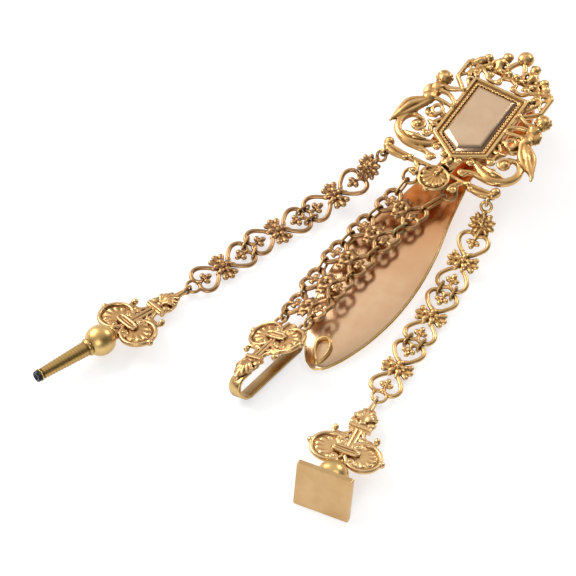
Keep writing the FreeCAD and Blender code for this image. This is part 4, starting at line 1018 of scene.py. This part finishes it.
def make_seal(gilt, polished):
    """The seal: its ornament and the dome that carries its plate."""
    place = pendant_place("right", SEAL_MIDDLE, (0.0, 0.0, 1.0))
    cast = Casting()
    ornament_work(cast)
    bail_work(cast)
    cast.finish("seal_palmette", ["seal_ornament"], ORNAMENT_VOXEL, gilt, place)
    profile = BALL_NECK + ball_profile(BALL_AT, BALL_R, 22, 100) + [
        (BALL_AT + 2.0, 3.55), (BALL_AT + 3.4, 3.9), (SEAL_AT - 0.8, 4.6), (SEAL_AT - 0.1, 4.9),
        (SEAL_AT - 0.06, 0.2)]
    finish_piece(lathe("seal_dome", profile), [], polished, place)


def band_solid(name, line, half, thick):
    """A bent strip: its line in (y, z), its half width and its thickness, with a softened edge."""
    shape = bmesh.new()
    rings = []
    for i, (y, z) in enumerate(line):
        before = line[max(0, i - 1)]
        after = line[min(len(line) - 1, i + 1)]
        way = Vector((0, after[0] - before[0], after[1] - before[1])).normalized()
        up = Vector((0, -way.z, way.y))
        w = half[i] if isinstance(half, list) else half
        t = thick / 2
        edge = min(0.25, w * 0.4)
        section = [(-w, -t + edge * 0.6), (-w + edge, -t), (w - edge, -t), (w, -t + edge * 0.6),
                   (w, t - edge * 0.6), (w - edge, t), (-w + edge, t), (-w, t - edge * 0.6)]
        rings.append([shape.verts.new(Vector((x, y, z)) + up * h) for x, h in section])
    join_rings(shape, rings)
    bmesh.ops.recalc_face_normals(shape, faces=shape.faces)
    return new_piece(name, shape)


CLIP_SCALE = 0.94
CLIP_REACH = 14.6
CLIP_BEND_R = 2.75
CLIP_FRONT_BELOW = 0.9


def make_clip(gilt, sheet):
    """The watch clip: the same ornament head down, two eyes, and a bent spring strip behind."""
    place = placing(CLIP_AT["at"], CLIP_AT["along"], CLIP_AT["up"])
    front = Casting()
    ornament_work(front)
    front.limb((0, -4.6, -0.2), (0, -2.9, -0.5), 1.5, 1.1)
    cast = Casting()
    head_down = Matrix.Rotation(math.pi, 4, "Z") @ Matrix.Scale(CLIP_SCALE, 4)
    cast.add_moved(front, head_down @ Matrix.Translation((0, CROSS_AT, 0)))
    for x in (-4.4, 4.4):
        cast.wire(level_ring(1.3, (x, 5.6), 0), 0.45, closed=True, steps=2)
    cast.finish("clip_palmette", ["watch_clip"], ORNAMENT_VOXEL, gilt, place)
    line = [(-CLIP_REACH + 2.6, -CLIP_FRONT_BELOW), (-CLIP_REACH + 1.2, -CLIP_FRONT_BELOW)]
    line += [polar(CLIP_BEND_R, 90 + 180 * k / 16, (-CLIP_REACH, -CLIP_FRONT_BELOW - CLIP_BEND_R))
             for k in range(17)]
    back_z = -CLIP_FRONT_BELOW - 2 * CLIP_BEND_R
    line += [(-CLIP_REACH * 0.5, back_z), (0, back_z), (3.0, back_z)]
    line += [polar(2.0, deg, (3.0, back_z + 2.0)) for deg in (285, 300, 320)]
    strip = band_solid("clip_spring", line, 1.95, 0.9)
    finish_piece(strip, [], sheet, place)


ARCH_Y = -20.0
ARCH_Z = 4.9
TIP_Y = -79.0
HAIRPIN_Y = 12.2
HAIRPIN_R = 5.15
SHEET = 0.9
LEAF_HALF = 8.2
# Half widths of the tongue at distances along it
TONGUE_WIDTHS = [(20.2, LEAF_HALF), (6.0, 8.0), (-2.0, 5.6), (-9.0, 4.6), (-15.0, 5.6), (-25.0, 7.4),
                 (-36.0, 9.8), (-47.0, 10.9), (-57.0, 10.4), (-66.0, 8.4), (-73.0, 5.6), (-77.0, 3.2),
                 (-78.4, 1.8), (-79.0, 0.5)]


def tongue_half(y):
    """Half the tongue's width at a distance along it, on a smooth curve through the table."""
    route = smooth_route([(w, at, 0) for at, w in TONGUE_WIDTHS], 10)
    for a, b in zip(route, route[1:]):
        if b.y <= y <= a.y:
            t = (a.y - y) / max(1e-6, a.y - b.y)
            return a.x + (b.x - a.x) * t
    return route[-1].x if y < route[-1].y else route[0].x


def hook_line():
    """The hook's bent sheet seen from the side, from the tip round the hairpin to the leaf's end."""
    top = SHEET / 2 + 2 * HAIRPIN_R
    centre_z = SHEET / 2 + HAIRPIN_R
    rise = centre_z - ARCH_Z
    reach = HAIRPIN_Y - ARCH_Y
    arch_r = (reach ** 2 + rise ** 2 - HAIRPIN_R ** 2) / (2 * (HAIRPIN_R - rise))
    tip_r = ((ARCH_Y - TIP_Y) ** 2 + (ARCH_Z - SHEET / 2) ** 2) / (2 * (ARCH_Z - SHEET / 2))
    line = []
    for k in range(61):
        y = TIP_Y + (ARCH_Y - TIP_Y) * k / 60
        line.append((y, ARCH_Z - tip_r + math.sqrt(tip_r ** 2 - (y - ARCH_Y) ** 2)))
    arch_centre = (ARCH_Y, ARCH_Z - arch_r)
    joint = math.atan2(centre_z - arch_centre[1], HAIRPIN_Y - arch_centre[0])
    for k in range(1, 21):
        a = math.pi / 2 + (joint - math.pi / 2) * k / 20
        line.append((arch_centre[0] + arch_r * math.cos(a), arch_centre[1] + arch_r * math.sin(a)))
    for k in range(1, 25):
        a = (joint - math.pi) + (math.pi / 2 - (joint - math.pi)) * k / 24
        line.append((HAIRPIN_Y + HAIRPIN_R * math.cos(a), centre_z + HAIRPIN_R * math.sin(a)))
    for k in range(1, 9):
        line.append((HAIRPIN_Y + (-9.0 - HAIRPIN_Y) * k / 8, top))
    return line


def make_hook(sheet, gilt):
    """The belt hook's bent sheet, the rounded rim of its tongue and the loop of wire near its tip."""
    line = hook_line()
    turn = len(line) - 20
    widths = [tongue_half(y) if i < turn else LEAF_HALF for i, (y, z) in enumerate(line)]
    finish_piece(band_solid("hook_sheet", line, widths, SHEET), ["back_hook"], sheet)
    rim = Casting()
    edge = [(y, z, w) for (y, z), w in zip(line, widths) if z < HAIRPIN_R and y < HAIRPIN_Y]
    route = [(w, y, z) for y, z, w in edge[::-1]] + [(-w, y, z) for y, z, w in edge]
    rim.wire(route, 0.4, steps=1, sides=10)
    rim.finish("hook_rim", [], 0.2, gilt, rounds=4)
    cast = Casting()
    loop = [(0.2, 0.1, 0), (1.6, 1.8, 0), (2.3, 4.0, 0), (1.9, 6.0, 0), (0.4, 7.1, 0), (-1.2, 6.5, 0),
            (-1.8, 4.8, 0), (-1.2, 2.2, 0)]
    cast.wire(loop, 0.45, closed=True, steps=4)
    cast.ball((0, 0.1, 0), 0.75)
    place = placing((0.2, -77.6, 1.15), (-0.22, 0.93, 0.3), (-0.3, -0.2, 0.9))
    cast.finish("hook_loop", [], 0.12, gilt, place)


BAR_X = -0.6
BAR_Y = -16.9
BAR_Z = 12.2


def make_bar(gilt):
    """The bar: knobs, leaf buds, C-scrolls, and the rimmed palmette in the middle."""
    cast = Casting()
    z = BAR_Z
    for s in (1, -1):
        cast.wire([(s * 4.5, BAR_Y, z), (s * 9.0, BAR_Y - 0.3, z), (s * 15.4, BAR_Y + 0.1, z)],
                  [0.6, 0.95, 1.0])
        cast.ball((s * 15.7, -15.5, z), 1.45)
        cast.ball((s * 15.4, BAR_Y + 0.1, z), 1.2)
        cast.wire([(s * 14.6, BAR_Y - 0.9, z + 0.3), (s * 12.4, BAR_Y - 1.5, z + 0.4),
                   (s * 9.8, BAR_Y - 1.3, z + 0.3)], [0.85, 0.8, 0.6])
        cast.wire([(s * 14.4, BAR_Y + 0.3, z + 0.55), (s * 12.0, BAR_Y + 0.05, z + 0.6),
                   (s * 9.6, BAR_Y - 0.1, z + 0.5)], [0.45, 0.5, 0.4])
        cast.ball((s * 9.6, BAR_Y - 1.2, z + 0.3), 0.85)
        cast.ball((s * 8.4, BAR_Y - 0.2, z + 0.3), 0.95)
        cast.wire([(s * 8.6, BAR_Y - 0.2, z), (s * 6.6, BAR_Y - 0.8, z + 0.1),
                   (s * 5.2, BAR_Y - 2.4, z + 0.1), (s * 4.9, BAR_Y - 4.2, z)], [0.5, 0.6, 0.45])
        cast.volute((s * 5.9, BAR_Y - 3.4), 1.2, 90, s * 1.2, z + 0.2, 0.42)
        axis = Vector((1, 0.15, 0)) if s > 0 else Vector((0.82, -0.57, 0))
        for at, way in (((s * 15.1, EYE_Y, EYE_Z), axis), ((s * 5.9, -19.0, 10.9), Vector((1, 0, 0)))):
            side_way = way.normalized().cross(Vector((0, 0, 1)))
            ring = [Vector(at) + side_way * 1.15 * math.cos(math.radians(30 * k))
                    + Vector((0, 0, 1.15 * math.sin(math.radians(30 * k)))) for k in range(12)]
            cast.wire(ring, 0.38, closed=True, steps=2)
        cast.limb((s * 5.9, BAR_Y - 0.2, z - 0.2), (s * 5.9, -17.85, 11.0), 0.5, 0.42)
    fan_y = BAR_Y - 3.0
    cast.ball((0, fan_y, z), 3.8, (1, 1, 0.18))
    cast.wire(level_ring(3.8, (0, fan_y), z + 0.4, 15), 0.4, closed=True, steps=2)
    for deg in (-168, -142, -116, -90, -64, -38, -12):
        a = math.radians(deg)
        cast.wire([(0.4 * math.cos(a), fan_y + 1.3, z + 0.4),
                   (3.0 * math.cos(a), fan_y + 1.3 + 3.5 * math.sin(a), z + 0.4)], [0.3, 0.78],
                  steps=1, flat=0.6)
    cast.ball((0, fan_y + 1.5, z + 0.8), 0.75)
    cast.ball((0, fan_y - 4.2, z + 0.3), 0.75)
    cast.wire([(0, fan_y + 1.2, z + 0.2), (0, BAR_Y + 0.6, z + 0.2)], 0.85, steps=1)
    cast.wire([(-5.3, BAR_Y, z), (5.3, BAR_Y, z)], 0.62, steps=1)
    cast.slab([(-1.3, BAR_Y - 0.4), (2.5, BAR_Y - 0.4), (2.5, -11.6), (1.7, -10.9), (-0.5, -10.9),
               (-1.3, -11.6)], 10.5, 11.15)
    cast.slab([(-1.5, BAR_Y - 0.6), (1.5, BAR_Y - 0.6), (1.5, BAR_Y + 0.6), (-1.5, BAR_Y + 0.6)], 10.55, z)
    cast.finish("bar_cast", ["suspension_bar"], ORNAMENT_VOXEL, gilt, Matrix.Translation((BAR_X, 0, 0)))


GREEN_RING = "cross_ring_1b"


def paint_plain_nodes(gilt, green_gilt, plate):
    """The small rings and the seal's plate keep their own shapes and get a better finish."""
    for name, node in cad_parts.items():
        finish = {"seal_plate": plate, GREEN_RING: green_gilt}.get(name, gilt)
        for k in range(len(node.material_slots)):
            node.material_slots[k].link = "OBJECT"
            node.material_slots[k].material = finish


def main():
    make_camera()
    studio()
    plain_floor()
    # Pinchbeck-like gilt: the plaque's and right chain's is yellow, the other chains' is darker overall, with
    # darker painted shade in its hollows
    gilt = cast_gilt("gilt_cast", srgb("#E0BE84"), srgb("#C9965A"), srgb("#451D05"), shade_reach_mm=1.2)
    chain_gilt = cast_gilt("gilt_links", srgb("#BA956A"), srgb("#9C7046"), srgb("#2E1204"))
    pendant_gilt = cast_gilt("gilt_pendant", srgb("#D8B684"), srgb("#C0935E"), srgb("#53290C"), shade_reach_mm=0.8)
    # The seal's casting is lighter, and its hollows get only a little browner painted shade
    seal_casting = cast_gilt("gilt_bright", srgb("#E8C994"), srgb("#DAB07A"), srgb("#8A5A2A"), shade_reach_mm=0.7)
    ring_gilt = polished_sheet("gilt_wire", srgb("#C29C68"), srgb("#A07A4C"), 0.34)
    # One ring is of a greener gilt, with more silver in it
    green_gilt = polished_sheet("gilt_green", srgb("#B2A571"), srgb("#908355"), 0.34)
    polished = polished_sheet("gilt_turned", srgb("#E0C083"), srgb("#C79F5C"), 0.36)
    rose = polished_sheet("rose_gold_plate", srgb("#E4C4A2"), srgb("#DAB692"), 0.2)
    # The tongue is pale peach, and turns orange towards the plaque as a painted reflection of the plaque and
    # chain over it
    tongue = polished_sheet("rolled_gilt", srgb("#F6D0A6"), srgb("#EEBF94"), 0.22, (1.5, 0.6, 1.5),
                            (srgb("#DC9A62"), -52.0, -22.0))
    plate = polished_sheet("seal_gilt", srgb("#D0AD7D"), srgb("#BF9965"), 0.36)
    # A long reach for the painted shade, so the whole inside of the bent strip is painted brown as if in
    # shadow
    spring = cast_gilt("gilt_spring", srgb("#DDBB80"), srgb("#C09656"), srgb("#5C3616"), 0.3, 7.0)
    # Turned brass, browner than the gilt, with painted shade in the grooves between its ribs
    pipe_brass = cast_gilt("turned_pipe", srgb("#D2B06E"), srgb("#AD8A50"), srgb("#2A1405"), 0.32)
    paint_plain_nodes(ring_gilt, green_gilt, plate)
    make_plaque(gilt)
    make_tablet(rose)
    make_bar(gilt)
    make_side_chain("left", chain_gilt)
    make_side_chain("right", gilt)
    make_middle_chain(chain_gilt)
    make_key(pendant_gilt, polished, pipe_brass, dark_steel("steel_tip"))
    make_seal(seal_casting, polished)
    make_clip(pendant_gilt, spring)
    make_hook(tongue, polished)


main()
